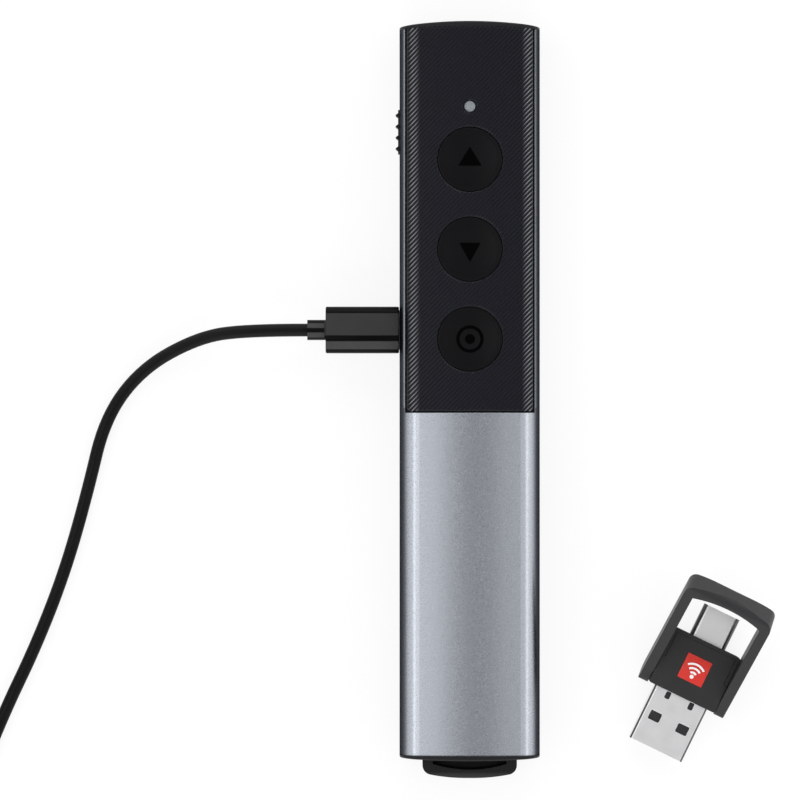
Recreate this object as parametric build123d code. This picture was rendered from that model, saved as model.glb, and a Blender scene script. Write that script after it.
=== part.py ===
from build123d import *
import math
import os

os.makedirs("parts", exist_ok=True)

# The clicker lies on its back. X runs across it, +Y to the laser end, +Z out of the buttons.
# The origin is the middle of the flat back face. All sizes are in millimetres.

# Housing: an extruded sleeve between two end caps
body_length = 152.4
body_width = 29.0
body_height = 14.4
front_crown = 1.0           # rise of the front face over the width
front_corner = 4.5
back_corner = 4.0
sleeve_wall = 1.1
cap_flange = 1.05           # thickness of each end cap outside the sleeve
cap_spigot = 3.4            # depth of each end cap inside the sleeve
cap_wall = 1.2
top_sagitta = 1.05          # bow of the top cap, seen from the front
seam_sagitta = 0.6          # bow of the seam under the top cap
bottom_sagitta = 0.5
cap_edge = 0.4              # rounding of each cap's outer rim

# Front panel, in a window of the sleeve that is open at the top
window_from_top = 80.7
rail_width = 1.15           # sleeve left standing beside the window
land_drop = 2.39            # from the top of the front face down to the lip of each rail
land_tilt = 20.0            # outward slope of that lip
panel_depth = 2.9
panel_gap = 0.35
window_corner = 1.0

# Buttons and status light, placed from the top end
first_button_from_top = 28.5
button_pitch = 18.5
button_diameter = 13.25
button_gap = 0.12
button_below_panel = 0.15
button_dish = 0.35
button_rim = 0.6
button_flange = 0.7         # how far the flange reaches past the cap, under the panel
flange_thickness = 0.8
button_travel = 0.5
stem_diameter = 3.4
led_from_top = 17.6
led_diameter = 2.4
led_flange = 0.7
led_flange_thickness = 0.6
led_below_panel = 0.1
led_gap = 0.12

# Slide switch on the left side
slider_from_top = 22.6
slider_length = 9.1
slider_height = 3.4
slider_travel = 1.3
slider_proud = 0.3
slider_rib_height = 0.5
slider_rib_pitch = 2.3
slider_flange = 1.6
slider_flange_thickness = 0.8
slider_rib_foot = 1.1       # width of a rib where it leaves the cap
slider_rib_tip = 0.16
slider_rib_count = 4
slider_fork = (4.0, 2.8)    # length and height of the arm that reaches the switch
slide_knob = (1.5, 1.5)     # length and height
slide_switch_size = (3.4, 8.6, 3.5)    # depth, length without the travel, height
slide_knob_depth = 2.0      # how far the knob reaches into the switch
knob_play = 0.05

# Charging port on the left side
port_from_top = 63.55
port_wall = (0.285, 0.35)   # of the port's shell, at its ends and over its height
port_depth = 7.5
port_recess = 0.2
port_back_wall = 0.5
port_play = (0.12, 0.14)    # room round the plug's shell, in width and height
port_tongue = (6.7, 4.6, 0.7)

# Inside
fit_gap = 0.15              # moulded pieces inside the sleeve
chassis_wall = 1.2
board_thickness = 1.0
board_margin = 0.7
board_end_from_top = 16.6
tact_size = 6.0
tact_body_height = 3.5
tact_height = 5.0
tact_plunger = 3.5
stem_gap = 0.05             # left between stem and plunger at the end of the stroke
post_diameter = 3.6
screw_diameter = 1.4
screw_head = (2.6, 0.9)
screw_bite = 2.4
cell_size = (20.0, 32.0, 6.5)
cell_corner = 1.5
cell_end_gap = 1.0
pad_thickness = 0.5
pad_inset = 1.0
lead_wire = (0.8, 2.4, 1.2)     # diameter, distance between the two wires, height over the board
laser_diameter = 6.0
laser_length = 12.0
laser_back_from_top = 15.4
laser_lens_size = (4.0, 0.8)
laser_board_size = (6.4, 0.8, 4.8)
laser_clip_size = (10.0, 5.0)   # width and length
laser_clip_from_back = 4.0
laser_clip_rise = 1.2           # how far the clip reaches past the barrel's middle
laser_aperture = 3.4
window_disc = (5.0, 0.8)
window_recess = 0.2
shield_size = (8.0, 8.0, 1.6)
led_chip = (1.6, 0.8, 0.7)
# Chips on the board: X, Y from the middle of the two lower buttons, then width, length and height
chips = [
    (0.0, 0.0, 5.0, 5.0, 0.9),
    (6.5, 0.0, 3.0, 3.0, 0.9),
    (6.2, -5.75, 3.2, 2.5, 1.2),
]
small_chip = (1.6, 0.8, 0.6)
small_chip_place = (-6.7, -0.6)
small_chip_pitch = 1.6

# Receiver: measured about the pivot of its loop, +Y to the USB-C tip, +Z out of the badge face
receiver_width = 15.1
receiver_thickness = 6.5
receiver_behind_pivot = 3.0
receiver_ahead_of_pivot = 9.6
receiver_wall = 1.2
receiver_corner = 0.5
cover_rim = 0.8
cover_thickness = 1.6
cover_wrap = 2.85           # depth of the cover where it wraps over the sides
cover_wrap_end = 3.2        # how far past the pivot it wraps
seam_gap = 0.06
receiver_board_thickness = 0.8

# Plugs, to the USB standards
usb_a_shell = (12.0, 4.5)
usb_a_wall = 0.3
usb_a_out = 12.2
usb_a_held = 2.0
usb_a_windows = (2.5, 2.0, 3.15, 6.2)   # width, length, offset from the middle, distance from the tip
usb_a_slots = (1.1, 1.6, 2.65, 11.3)
usb_a_tongue = (11.0, 1.9)
usb_c_shell = (8.25, 2.42)
usb_c_wall = 0.25
usb_c_out = 7.0
usb_c_held = 2.6
usb_c_slot = (7.0, 0.84)

# Loop of the receiver
loop_side = 2.1             # thickness of each side of the loop
loop_reach = 24.0
loop_height = 6.2
loop_bar = 1.9
loop_side_gap = 0.1
loop_end = 2.7
loop_outer_bow = 1.2
loop_inner_bow = 1.2
loop_corner = 2.0
loop_edge = 1.7
loop_ledge = (2.4, 1.3)     # depth and thickness of the ledge inside the bar
pin_diameter = 3.0
pin_length = 1.15
pin_gap = 0.05

# Bay for the stowed receiver
bay_gap = 0.2
bay_wall = 1.2
bay_end_gap = 0.5
bay_corner = 0.6
loop_stands_out = 3.9       # how far the loop stands out of the bottom cap
spring_leaf = (0.3, 12.0, 3.0)

# Loose receiver: it lies on its back beside the clicker, with its loop half raised
loose_place = (45.3, -60.8)
loose_heading = -26.0
loop_raised = 30.0

# Charging lead
plug_grip_wall = (0.7, 1.64)    # moulding round the plug's shell, at its ends and over its height
plug_grip_length = 15.2
plug_grip_edge = 1.6
plug_clearance = 0.1
relief_diameter = 4.2
relief_length = 3.8
relief_groove = (0.35, 0.5)
cable_diameter = 2.6
far_grip_wall = (1.7, 1.65)
far_grip_length = 20.0
far_grip_edge = 1.8
far_relief_length = 8.0
tail_length = 14.5
tie_thickness = 0.4
tie_width = 4.0
tie_slack = 0.3

# Route of the cable: straight out of the plug for cable_lead_out, then by hand down to the table
# and out to the coil
cable_lead_out = 12.9
cable_floor = cable_diameter / 2 + 0.02
cable_route = [
    (-56.3, 10.8, 3.9),
    (-67.7, 4.4, 1.8),
    (-75.3, -5.7, cable_floor),
    (-78.9, -20.9, cable_floor),
    (-83.5, -37.2, cable_floor),
    (-89.6, -52.7, cable_floor),
    (-96.4, -66.7, cable_floor),
    (-102.4, -80.5, cable_floor),
    (-106.5, -91.8, cable_floor),
]

# Coil of the length that is put away: three turns on the table and two on top of them
coil_centre = (-123.0, -85.8)
coil_mean_radius = 15.0
coil_turns_below = 3
coil_rise = 2.25
tail_angle = 160.0
tie_angle = 250.0

# Levels and stations that follow from the sizes above
top_end = body_length / 2
bottom_end = -body_length / 2
sleeve_top = top_end - cap_flange
sleeve_bottom = bottom_end + cap_flange
window_bottom = top_end - window_from_top
panel_seat = body_height - panel_depth
rail_inner = body_width / 2 - rail_width
panel_half = rail_inner - panel_gap
middle_height = body_height / 2
liner = sleeve_wall + fit_gap
button_stations = [top_end - first_button_from_top - n * button_pitch for n in range(3)]
led_station = top_end - led_from_top
slider_station = top_end - slider_from_top
port_station = top_end - port_from_top
port_inner_width = usb_c_shell[0] + port_play[0]
port_inner_height = usb_c_shell[1] + port_play[1]
port_width = port_inner_width + 2 * port_wall[0]
port_height = port_inner_height + 2 * port_wall[1]
board_top = middle_height - port_height / 2 - fit_gap
board_bottom = board_top - board_thickness
chassis_floor = liner + chassis_wall
board_half = body_width / 2 - liner - chassis_wall - board_margin
board_high = top_end - board_end_from_top
board_low = window_bottom + 3.0
board_low_screw = board_low + 2.6
switch_left = -board_half + 0.3
slider_back = -body_width / 2 + sleeve_wall + fit_gap / 3
laser_back = top_end - laser_back_from_top
laser_front = laser_back + laser_length
loop_inner_half = receiver_width / 2 + loop_side_gap
loop_outer_width = 2 * (loop_inner_half + loop_side)
bay_width = loop_outer_width + 2 * bay_gap
bay_height = max(receiver_thickness, loop_height) + 2 * bay_gap
stow_pivot = bottom_end - loop_stands_out + loop_reach
usb_a_tip = -receiver_behind_pivot - usb_a_out
bay_floor = stow_pivot - usb_a_tip + bay_end_gap
bay_back = bay_floor + bay_wall
chassis_low = bay_back + 0.3
chassis_high = sleeve_top - seam_sagitta - cap_spigot - 0.2
cell_low = chassis_low + chassis_wall + cell_end_gap
plug_face = -body_width / 2 - plug_clearance
plug_place = Pos(plug_face, port_station, middle_height) * Rot(Z=-90)
plug_grip = (usb_c_shell[0] + 2 * plug_grip_wall[0], plug_grip_length,
             usb_c_shell[1] + 2 * plug_grip_wall[1])
far_grip = (usb_a_shell[0] + 2 * far_grip_wall[0], far_grip_length,
            usb_a_shell[1] + 2 * far_grip_wall[1])
cable_start = (plug_face - plug_grip_length - relief_length, port_station, middle_height)
cable_bend = (cable_start[0] - cable_lead_out, port_station, middle_height)
coil_inner = coil_mean_radius - coil_turns_below * cable_diameter / 2
coil_outer = coil_mean_radius + coil_turns_below * cable_diameter / 2
coil_height = tie_thickness + cable_diameter + coil_rise + 0.05

# The far end of the cable leaves the upper turns straight into the USB-A plug beside the coil
tail_radius = coil_mean_radius + cable_diameter / 2
tail_height = tie_thickness + cable_diameter / 2 + coil_rise
tail_turn = math.radians(tail_angle)
tail_start = (coil_centre[0] + tail_radius * math.cos(tail_turn),
              coil_centre[1] + tail_radius * math.sin(tail_turn),
              tail_height)
tail_way = (math.sin(tail_turn), -math.cos(tail_turn))
far_face_run = tail_length + far_relief_length + far_grip_length
far_face = (tail_start[0] + far_face_run * tail_way[0],
            tail_start[1] + far_face_run * tail_way[1],
            tail_height)
far_place = Pos(*far_face) * Rot(Z=tail_angle - 180)


def block(low, high, corner=0.0):
    # A box between two corners, with its upright edges rounded
    size = [b - a for a, b in zip(low, high)]
    middle = [(a + b) / 2 for a, b in zip(low, high)]
    if corner:
        outline = RectangleRounded(size[0], size[1], corner)
        return Pos(middle[0], middle[1], low[2]) * extrude(outline, size[2])
    return Pos(*middle) * Box(*size)


def bar(width, height, corner, low, high, x=0.0, z=0.0):
    # A bar along Y from low to high with a rounded section
    plane = Plane(origin=(x, low, z), x_dir=(1, 0, 0), z_dir=(0, -1, 0))
    return extrude(plane * RectangleRounded(width, height, corner), high - low, dir=(0, 1, 0))


def rod(start, end, radius):
    # A round rod between two points
    run = Vector(*end) - Vector(*start)
    plane = Plane(origin=start, z_dir=run)
    return plane * Cylinder(radius, run.length, align=(Align.CENTER, Align.CENTER, Align.MIN))


def body_prism(inset, low, high):
    # The housing's section, moved inwards by inset, as a prism along Y
    half = body_width / 2 - inset
    shoulder = body_height - front_crown - inset
    sides = Polyline((-half, shoulder), (-half, inset), (half, inset), (half, shoulder))
    crown = ThreePointArc((half, shoulder), (0, body_height - inset), (-half, shoulder))
    plane = Plane(origin=(0, low, 0), x_dir=(1, 0, 0), z_dir=(0, -1, 0))
    face = make_face(sides + crown)
    face = fillet(face.vertices().group_by(Axis.Y)[0], max(back_corner - inset, 0.4))
    face = fillet(face.vertices().group_by(Axis.Y)[-1], max(front_corner - inset, 0.4))
    return extrude(plane * face, high - low, dir=(0, 1, 0))


def bowed_end(station, sagitta):
    # Everything inside the arc that bows an end by sagitta over the body's width
    radius = body_width ** 2 / (8 * sagitta) + sagitta / 2
    centre = station - math.copysign(radius, station)
    return Pos(0, centre, middle_height) * Cylinder(radius, body_height * 2)


def make_sleeve():
    sleeve = body_prism(0, sleeve_bottom, sleeve_top)
    sleeve -= body_prism(sleeve_wall, sleeve_bottom, sleeve_top)
    sleeve &= bowed_end(sleeve_top, seam_sagitta)
    above = body_height + 1
    past_top = sleeve_top + window_corner + 1
    sleeve -= block((-rail_inner, window_bottom, panel_seat), (rail_inner, past_top, above), window_corner)
    for side in (-1, 1):
        across = sorted((-side, side * (rail_width + 1)))
        over_lip = block((across[0], window_bottom + window_corner, 0), (across[1], past_top, above))
        sleeve -= Pos(side * rail_inner, 0, body_height - land_drop) * Rot(Y=side * land_tilt) * over_lip
    outside = -body_width / 2 - 1
    inside = -body_width / 2 + sleeve_wall + 0.5
    slot_low = slider_station - slider_length / 2 - fit_gap
    slot_high = slider_station + slider_length / 2 + slider_travel + fit_gap
    slot_half = slider_height / 2 + fit_gap
    sleeve -= block((outside, slot_low, middle_height - slot_half),
                    (inside, slot_high, middle_height + slot_half))
    port_hole = bar(port_width + 0.2, port_height + 0.2, port_height / 2, 0, 2 * sleeve_wall + 1)
    sleeve -= Pos(inside, port_station, middle_height) * Rot(Z=90) * port_hole
    return sleeve


def make_panel():
    panel = body_prism(0, window_bottom + panel_gap, sleeve_top) & bowed_end(sleeve_top, seam_sagitta)
    low = (-panel_half, window_bottom + panel_gap, panel_seat)
    high = (panel_half, sleeve_top + window_corner, body_height + 1)
    panel &= block(low, high, window_corner - panel_gap)
    hole = button_diameter / 2 + button_gap
    pocket = button_diameter / 2 + button_flange + fit_gap
    for station in button_stations:
        panel -= rod((0, station, panel_seat - 1), (0, station, body_height + 1), hole)
        panel -= rod((0, station, panel_seat - 1), (0, station, flange_top() + 0.05), pocket)
    panel -= rod((0, led_station, panel_seat - 1), (0, led_station, body_height + 1), led_diameter / 2 + led_gap)
    return panel


def flange_top():
    return panel_seat + flange_thickness


def make_button(station):
    top = body_height - button_below_panel
    radius = button_diameter / 2
    cap = rod((0, station, flange_top() - 0.1), (0, station, top), radius)
    dish_radius = radius - button_rim
    ball = (dish_radius ** 2 + button_dish ** 2) / (2 * button_dish)
    cap -= Pos(0, station, top - button_dish + ball) * Sphere(ball)
    flange = rod((0, station, panel_seat), (0, station, flange_top()), radius + button_flange)
    stem_foot = board_top + tact_height + button_travel + stem_gap
    stem = rod((0, station, stem_foot), (0, station, panel_seat + 0.1), stem_diameter / 2)
    return cap + flange + stem


def make_led_lens():
    radius = led_diameter / 2
    foot = panel_seat - led_flange_thickness
    lens = rod((0, led_station, foot), (0, led_station, body_height - led_below_panel), radius)
    lens += rod((0, led_station, foot), (0, led_station, panel_seat), radius + led_flange)
    pipe_foot = board_top + led_chip[2] + 0.2
    return lens + rod((0, led_station, pipe_foot), (0, led_station, foot + 0.1), radius - 0.2)


def soft_rim(cap, end):
    # The cap with the rim of its outer face rounded, end 0 at the bottom and -1 at the top
    rim = cap.faces().sort_by(Axis.Y)[end].edges()
    return fillet(rim, min(cap_edge, cap_flange / 2 - 0.05))


def make_top_cap():
    cap = body_prism(0, sleeve_top - seam_sagitta - 1, top_end) & bowed_end(top_end, top_sagitta)
    cap = soft_rim(cap, -1)
    cap -= bowed_end(sleeve_top, seam_sagitta)
    spigot_low = sleeve_top - seam_sagitta - cap_spigot
    spigot = body_prism(liner, spigot_low, sleeve_top) & bowed_end(sleeve_top, seam_sagitta)
    spigot -= body_prism(liner + cap_wall, spigot_low, sleeve_top - seam_sagitta - 0.8)
    spigot -= block((-body_width, spigot_low - 1, panel_seat - 0.1), (body_width, top_end, body_height + 1))
    cap += spigot
    cap -= rod((0, spigot_low, middle_height), (0, top_end + 1, middle_height), laser_aperture / 2)
    disc_front = sleeve_top - window_recess
    pocket = window_disc[0] / 2 + 0.05
    return cap - rod((0, spigot_low, middle_height), (0, disc_front, middle_height), pocket)


def make_laser_window():
    front = sleeve_top - window_recess
    back = front - window_disc[1]
    return rod((0, back, middle_height), (0, front, middle_height), window_disc[0] / 2)


def make_bottom_cap():
    cap = soft_rim(body_prism(0, bottom_end, sleeve_bottom) & bowed_end(bottom_end, bottom_sagitta), 0)
    spigot_high = sleeve_bottom + cap_spigot
    spigot = body_prism(liner, sleeve_bottom, spigot_high)
    spigot -= body_prism(liner + cap_wall, sleeve_bottom, spigot_high)
    bay_outside = bar(bay_width + 2 * bay_wall + 0.1, bay_height + 2 * bay_wall + 0.1, bay_corner + bay_wall,
                      sleeve_bottom, spigot_high + 1, z=middle_height)
    cap += spigot - bay_outside
    mouth = bar(bay_width, bay_height, bay_corner, bottom_end - 1, sleeve_bottom + 1, z=middle_height)
    return cap - mouth


def spring_pocket(side):
    thickness, length, height = spring_leaf
    depth = thickness + 0.25
    x = side * (bay_width / 2 - 0.1 + depth / 2)
    y = (sleeve_bottom + bay_floor) / 2
    return Pos(x, y, middle_height) * Box(depth, length + 0.2, height + 0.2)


def make_bay():
    outer_width = bay_width + 2 * bay_wall
    outer_height = bay_height + 2 * bay_wall
    bay = bar(outer_width, outer_height, bay_corner + bay_wall, sleeve_bottom, bay_back, z=middle_height)
    collar = body_prism(liner, bay_back - 1.6, bay_back)
    bay = bay + collar
    bay -= bar(bay_width, bay_height, bay_corner, sleeve_bottom - 1, bay_floor, z=middle_height)
    for side in (-1, 1):
        bay -= spring_pocket(side)
    return bay


def make_bay_springs():
    y = (sleeve_bottom + bay_floor) / 2
    x = bay_width / 2 + 0.1 + spring_leaf[0] / 2
    return [Pos(side * x, y, middle_height) * Box(*spring_leaf) for side in (-1, 1)]


def board_screw_points():
    x = board_half - 2.4
    upper_left = (-x, button_stations[1] + button_pitch / 2)
    upper_right = (x, button_stations[0] + 7)
    return [(-x, board_low_screw), (x, board_low_screw), upper_left, upper_right]


def make_chassis():
    chassis = body_prism(liner, chassis_low, chassis_high)
    inner_half = body_width / 2 - liner - chassis_wall
    past_end = chassis_high + 1
    chassis -= body_prism(liner + chassis_wall, chassis_low + chassis_wall, past_end)
    chassis -= block((-inner_half, chassis_low + chassis_wall, middle_height),
                     (inner_half, past_end, body_height))
    chassis -= block((-body_width, chassis_low - 1, panel_seat), (body_width, past_end, body_height))
    for x, y in board_screw_points():
        chassis += rod((x, y, chassis_floor - 0.2), (x, y, board_bottom), post_diameter / 2)
        hole_foot = board_bottom - screw_bite - 0.1
        chassis -= rod((x, y, hole_foot), (x, y, board_bottom + 1), screw_diameter / 2 + 0.03)
    left = -body_width / 2
    opening_half = slider_length / 2 + slider_flange + fit_gap
    opening_height = slider_height / 2 + slider_flange / 2 + fit_gap
    chassis -= block((left, slider_station - opening_half, middle_height - opening_height),
                     (left + liner + chassis_wall + 0.5, slider_station + opening_half + slider_travel,
                      middle_height + opening_height))
    port_half = port_width / 2 + 0.4
    chassis -= block((left, port_station - port_half, board_bottom - 0.2),
                     (left + liner + chassis_wall + 0.5, port_station + port_half,
                      middle_height + port_height / 2 + 0.4))
    return chassis


def make_board():
    board = block((-board_half, board_low, board_bottom), (board_half, board_high, board_top), 1.0)
    for x, y in board_screw_points():
        board -= rod((x, y, board_bottom - 1), (x, y, board_top + 1), screw_diameter / 2 + 0.15)
    return board


def make_board_screws():
    screws = []
    for x, y in board_screw_points():
        shank = rod((x, y, board_bottom - screw_bite), (x, y, board_top + 0.1), screw_diameter / 2)
        head = rod((x, y, board_top), (x, y, board_top + screw_head[1]), screw_head[0] / 2)
        slot = block((x - screw_head[0], y - 0.2, board_top + screw_head[1] / 2),
                     (x + screw_head[0], y + 0.2, board_top + 2 * screw_head[1]))
        screws.append(shank + head - slot)
    return screws


def make_tact_switches():
    switches = []
    for station in button_stations:
        low = (-tact_size / 2, station - tact_size / 2, board_top)
        high = (tact_size / 2, station + tact_size / 2, board_top + tact_body_height)
        plunger = rod((0, station, board_top + 1), (0, station, board_top + tact_height), tact_plunger / 2)
        switches.append(block(low, high, 0.4) + plunger)
    return switches


def make_slide_switch_body():
    # The slot on its left side is where the knob runs
    depth, length, height = slide_switch_size
    body = block((switch_left, slider_station - length / 2, board_top),
                 (switch_left + depth, slider_station + length / 2 + slider_travel, board_top + height))
    half = slide_knob[0] / 2 + 2 * knob_play
    half_height = slide_knob[1] / 2 + 2 * knob_play
    slot_depth = slide_knob_depth + 0.2
    return body - block((switch_left - 1, slider_station - half, middle_height - half_height),
                        (switch_left + slot_depth, slider_station + half + slider_travel,
                         middle_height + half_height))


def make_slide_switch_knob():
    # It stands in the switch and is driven by the notch of the slider
    length, height = slide_knob
    left = slider_back + slider_flange_thickness + 0.1
    return block((left, slider_station - length / 2, middle_height - height / 2),
                 (switch_left + slide_knob_depth, slider_station + length / 2, middle_height + height / 2))


def make_slider():
    face = -body_width / 2 - slider_proud
    half = slider_length / 2
    half_height = slider_height / 2
    slider = block((face, slider_station - half, middle_height - half_height),
                   (slider_back + 0.1, slider_station + half, middle_height + half_height))
    flange_half = half + slider_flange - slider_travel / 2
    flange_height = half_height + slider_flange / 2
    slider += block((slider_back, slider_station - flange_half, middle_height - flange_height),
                    (slider_back + slider_flange_thickness, slider_station + flange_half,
                     middle_height + flange_height))
    arm_half, arm_height = slider_fork[0] / 2, slider_fork[1] / 2
    slider += block((slider_back, slider_station - arm_half, middle_height - arm_height),
                    (switch_left - 0.2, slider_station + arm_half, middle_height + arm_height))
    notch_half = slide_knob[0] / 2 + knob_play
    slider -= block((slider_back + slider_flange_thickness, slider_station - notch_half, 0),
                    (switch_left, slider_station + notch_half, body_height))
    for n in range(slider_rib_count):
        y = slider_station + (n - (slider_rib_count - 1) / 2) * slider_rib_pitch
        foot, tip = slider_rib_foot / 2, slider_rib_tip / 2
        crest = face - slider_rib_height
        rib = Polyline((face + 0.1, y - foot), (crest, y - tip), (crest, y + tip), (face + 0.1, y + foot),
                       close=True)
        slider += Pos(0, 0, middle_height - half_height) * extrude(make_face(rib), slider_height)
    return slider


def make_port_shell():
    # Built with its mouth towards +Y, then turned to the left side
    shell = bar(port_width, port_height, port_height / 2 - 0.01, -port_depth, 0)
    back = -port_depth + port_back_wall
    shell -= bar(port_inner_width, port_inner_height, port_inner_height / 2 - 0.01, back, 1)
    return port_place() * shell


def make_port_tongue():
    width, length, thickness = port_tongue
    back = -port_depth + port_back_wall
    tongue = block((-width / 2, back, -thickness / 2), (width / 2, back + length, thickness / 2))
    return port_place() * tongue


def port_place():
    return Pos(-body_width / 2 + port_recess, port_station, middle_height) * Rot(Z=90)


def on_board(x, y, size, corner=0.0):
    # A piece that stands on the board with its middle at x, y
    width, length, height = size
    return block((x - width / 2, y - length / 2, board_top),
                 (x + width / 2, y + length / 2, board_top + height), corner)


def make_radio_shield():
    y = (button_stations[0] + button_stations[1]) / 2
    return on_board(board_half - shield_size[0] / 2 - 0.6, y, shield_size, 0.5)


def make_chips():
    middle = (button_stations[1] + button_stations[2]) / 2
    placed = [on_board(x, middle + y, (width, length, height)) for x, y, width, length, height in chips]
    x, y = small_chip_place
    placed += [on_board(x, middle + y + n * small_chip_pitch, small_chip) for n in range(3)]
    return placed


def make_status_led():
    return on_board(0, led_station, led_chip)


def make_laser_barrel():
    lens_radius, lens_thickness = laser_lens_size[0] / 2, laser_lens_size[1]
    barrel = rod((0, laser_back, middle_height), (0, laser_front, middle_height), laser_diameter / 2)
    seat = laser_front - lens_thickness - 0.2
    return barrel - rod((0, seat, middle_height), (0, laser_front + 1, middle_height), lens_radius + 0.05)


def make_laser_lens():
    front = laser_front - 0.2
    back = front - laser_lens_size[1]
    return rod((0, back, middle_height), (0, front, middle_height), laser_lens_size[0] / 2)


def make_laser_board():
    width, thickness, height = laser_board_size
    return block((-width / 2, laser_back - thickness, middle_height - height / 2),
                 (width / 2, laser_back, middle_height + height / 2))


def make_laser_clip():
    # A block on the chassis floor with the barrel through it
    width, length = laser_clip_size
    low = laser_back + laser_clip_from_back
    clip = block((-width / 2, low, chassis_floor),
                 (width / 2, low + length, middle_height + laser_clip_rise), 0.6)
    bore = laser_diameter / 2 + 0.03
    return clip - rod((0, low - 1, middle_height), (0, low + length + 1, middle_height), bore)


def make_battery_pad():
    half = cell_size[0] / 2 - pad_inset
    return block((-half, cell_low + pad_inset, chassis_floor),
                 (half, cell_low + cell_size[1] - pad_inset, chassis_floor + pad_thickness))


def make_battery_cell():
    width, length, thickness = cell_size
    base = chassis_floor + pad_thickness
    cell = block((-width / 2, cell_low, base), (width / 2, cell_low + length, base + thickness), cell_corner)
    return fillet(cell.edges().filter_by(Axis.Y), cell_corner * 2 / 3)


def make_battery_leads():
    # From the cell's end face up over the edge of the board and down to its pads
    wires = []
    diameter, spacing, rise = lead_wire
    end = cell_low + cell_size[1]
    pad = board_low + 1.5
    for x in (-spacing / 2, spacing / 2):
        path = FilletPolyline((x, end, board_top + rise), (x, pad, board_top + rise), (x, pad, board_top),
                              radius=diameter)
        section = Plane(origin=path @ 0, z_dir=path % 0) * Circle(diameter / 2)
        wires.append(sweep(section, path=path))
    return wires


def make_usb_a_shell():
    # Tip towards +Y, the moulding's face at Y 0
    width, height = usb_a_shell
    shell = bar(width, height, 0.6, -usb_a_held, usb_a_out)
    shell -= bar(width - 2 * usb_a_wall, height - 2 * usb_a_wall, 0.3, -usb_a_held - 1, usb_a_out + 1)
    window_width, window_length, offset, from_tip = usb_a_windows
    slot_width, slot_length, slot_offset, slot_from_tip = usb_a_slots
    for side in (-1, 1):
        x = side * offset
        y = usb_a_out - from_tip
        shell -= block((x - window_width / 2, y - window_length / 2, -height),
                       (x + window_width / 2, y + window_length / 2, height), 0.3)
        x = side * slot_offset
        y = usb_a_out - slot_from_tip
        shell -= block((x - slot_width / 2, y - slot_length / 2, 0),
                       (x + slot_width / 2, y + slot_length / 2, height), 0.3)
    return shell


def make_usb_a_tongue():
    width, thickness = usb_a_tongue
    inner_height = usb_a_shell[1] - 2 * usb_a_wall
    low = -inner_height / 2 + 0.02
    tongue = block((-width / 2, -usb_a_held, low), (width / 2, usb_a_out - 0.3, low + thickness))
    back_plug = block((-width / 2, -usb_a_held, low), (width / 2, -0.2, -low))
    return tongue + back_plug


def make_usb_c_shell():
    # Tip towards +Y, the moulding's face at Y 0
    width, height = usb_c_shell
    shell = bar(width, height, height / 2 - 0.01, -usb_c_held, usb_c_out)
    inner_height = height - 2 * usb_c_wall
    return shell - bar(width - 2 * usb_c_wall, inner_height, inner_height / 2 - 0.01, 0, usb_c_out + 1)


def make_usb_c_insert():
    width = usb_c_shell[0] - 2 * usb_c_wall - 0.04
    height = usb_c_shell[1] - 2 * usb_c_wall - 0.04
    insert = bar(width, height, height / 2 - 0.01, 0, usb_c_out - 0.2)
    return insert - bar(usb_c_slot[0], usb_c_slot[1], 0.2, 1.2, usb_c_out + 1)


def cover_volume(grow):
    rim = receiver_width / 2 - cover_rim + grow
    top = receiver_thickness / 2
    volume = block((-rim, -receiver_behind_pivot, top - cover_thickness - grow),
                   (rim, receiver_ahead_of_pivot - cover_rim + grow, top))
    half = receiver_width / 2
    wrap = block((-half, -receiver_behind_pivot, top - cover_wrap - grow), (half, cover_wrap_end + grow, top))
    return volume + wrap


def receiver_block():
    half = receiver_width / 2
    top = receiver_thickness / 2
    return block((-half, -receiver_behind_pivot, -top), (half, receiver_ahead_of_pivot, top), receiver_corner)


def receiver_cavity():
    half = receiver_width / 2 - receiver_wall
    top = receiver_thickness / 2
    return block((-half, -receiver_behind_pivot + receiver_wall, -top + receiver_wall),
                 (half, receiver_ahead_of_pivot - receiver_wall, top - cover_thickness))


def usb_a_place():
    return Pos(0, -receiver_behind_pivot, 0) * Rot(Z=180)


def usb_c_place():
    return Pos(0, receiver_ahead_of_pivot, 0)


def plug_holes():
    width, height = usb_a_shell
    hole = usb_a_place() * bar(width + 0.1, height + 0.1, 0.6, -usb_a_held - 0.1, 1)
    width, height = usb_c_shell
    return hole + usb_c_place() * bar(width + 0.1, height + 0.1, height / 2, -usb_c_held - 0.1, 1)


def make_receiver_back():
    back = receiver_block() - receiver_cavity() - cover_volume(seam_gap) - plug_holes()
    root = receiver_width / 2 - receiver_wall
    tip = receiver_width / 2 + pin_length
    for side in (-1, 1):
        back += rod((side * root, 0, 0), (side * tip, 0, 0), pin_diameter / 2)
    return back


def make_receiver_cover():
    cover = receiver_block() & cover_volume(0)
    half = receiver_width / 2 - receiver_wall
    cover -= block((-half, -receiver_behind_pivot + receiver_wall, -receiver_thickness),
                   (half, receiver_ahead_of_pivot, receiver_thickness / 2 - cover_thickness))
    pin_room = rod((-receiver_width, 0, 0), (receiver_width, 0, 0), pin_diameter / 2 + seam_gap)
    return cover - plug_holes() - pin_room


def make_receiver_board():
    half = receiver_width / 2 - receiver_wall - 0.1
    low = -receiver_behind_pivot + usb_a_held + 0.05
    high = receiver_ahead_of_pivot - usb_c_held - 0.05
    return block((-half, low, -receiver_board_thickness / 2), (half, high, receiver_board_thickness / 2))


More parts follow.
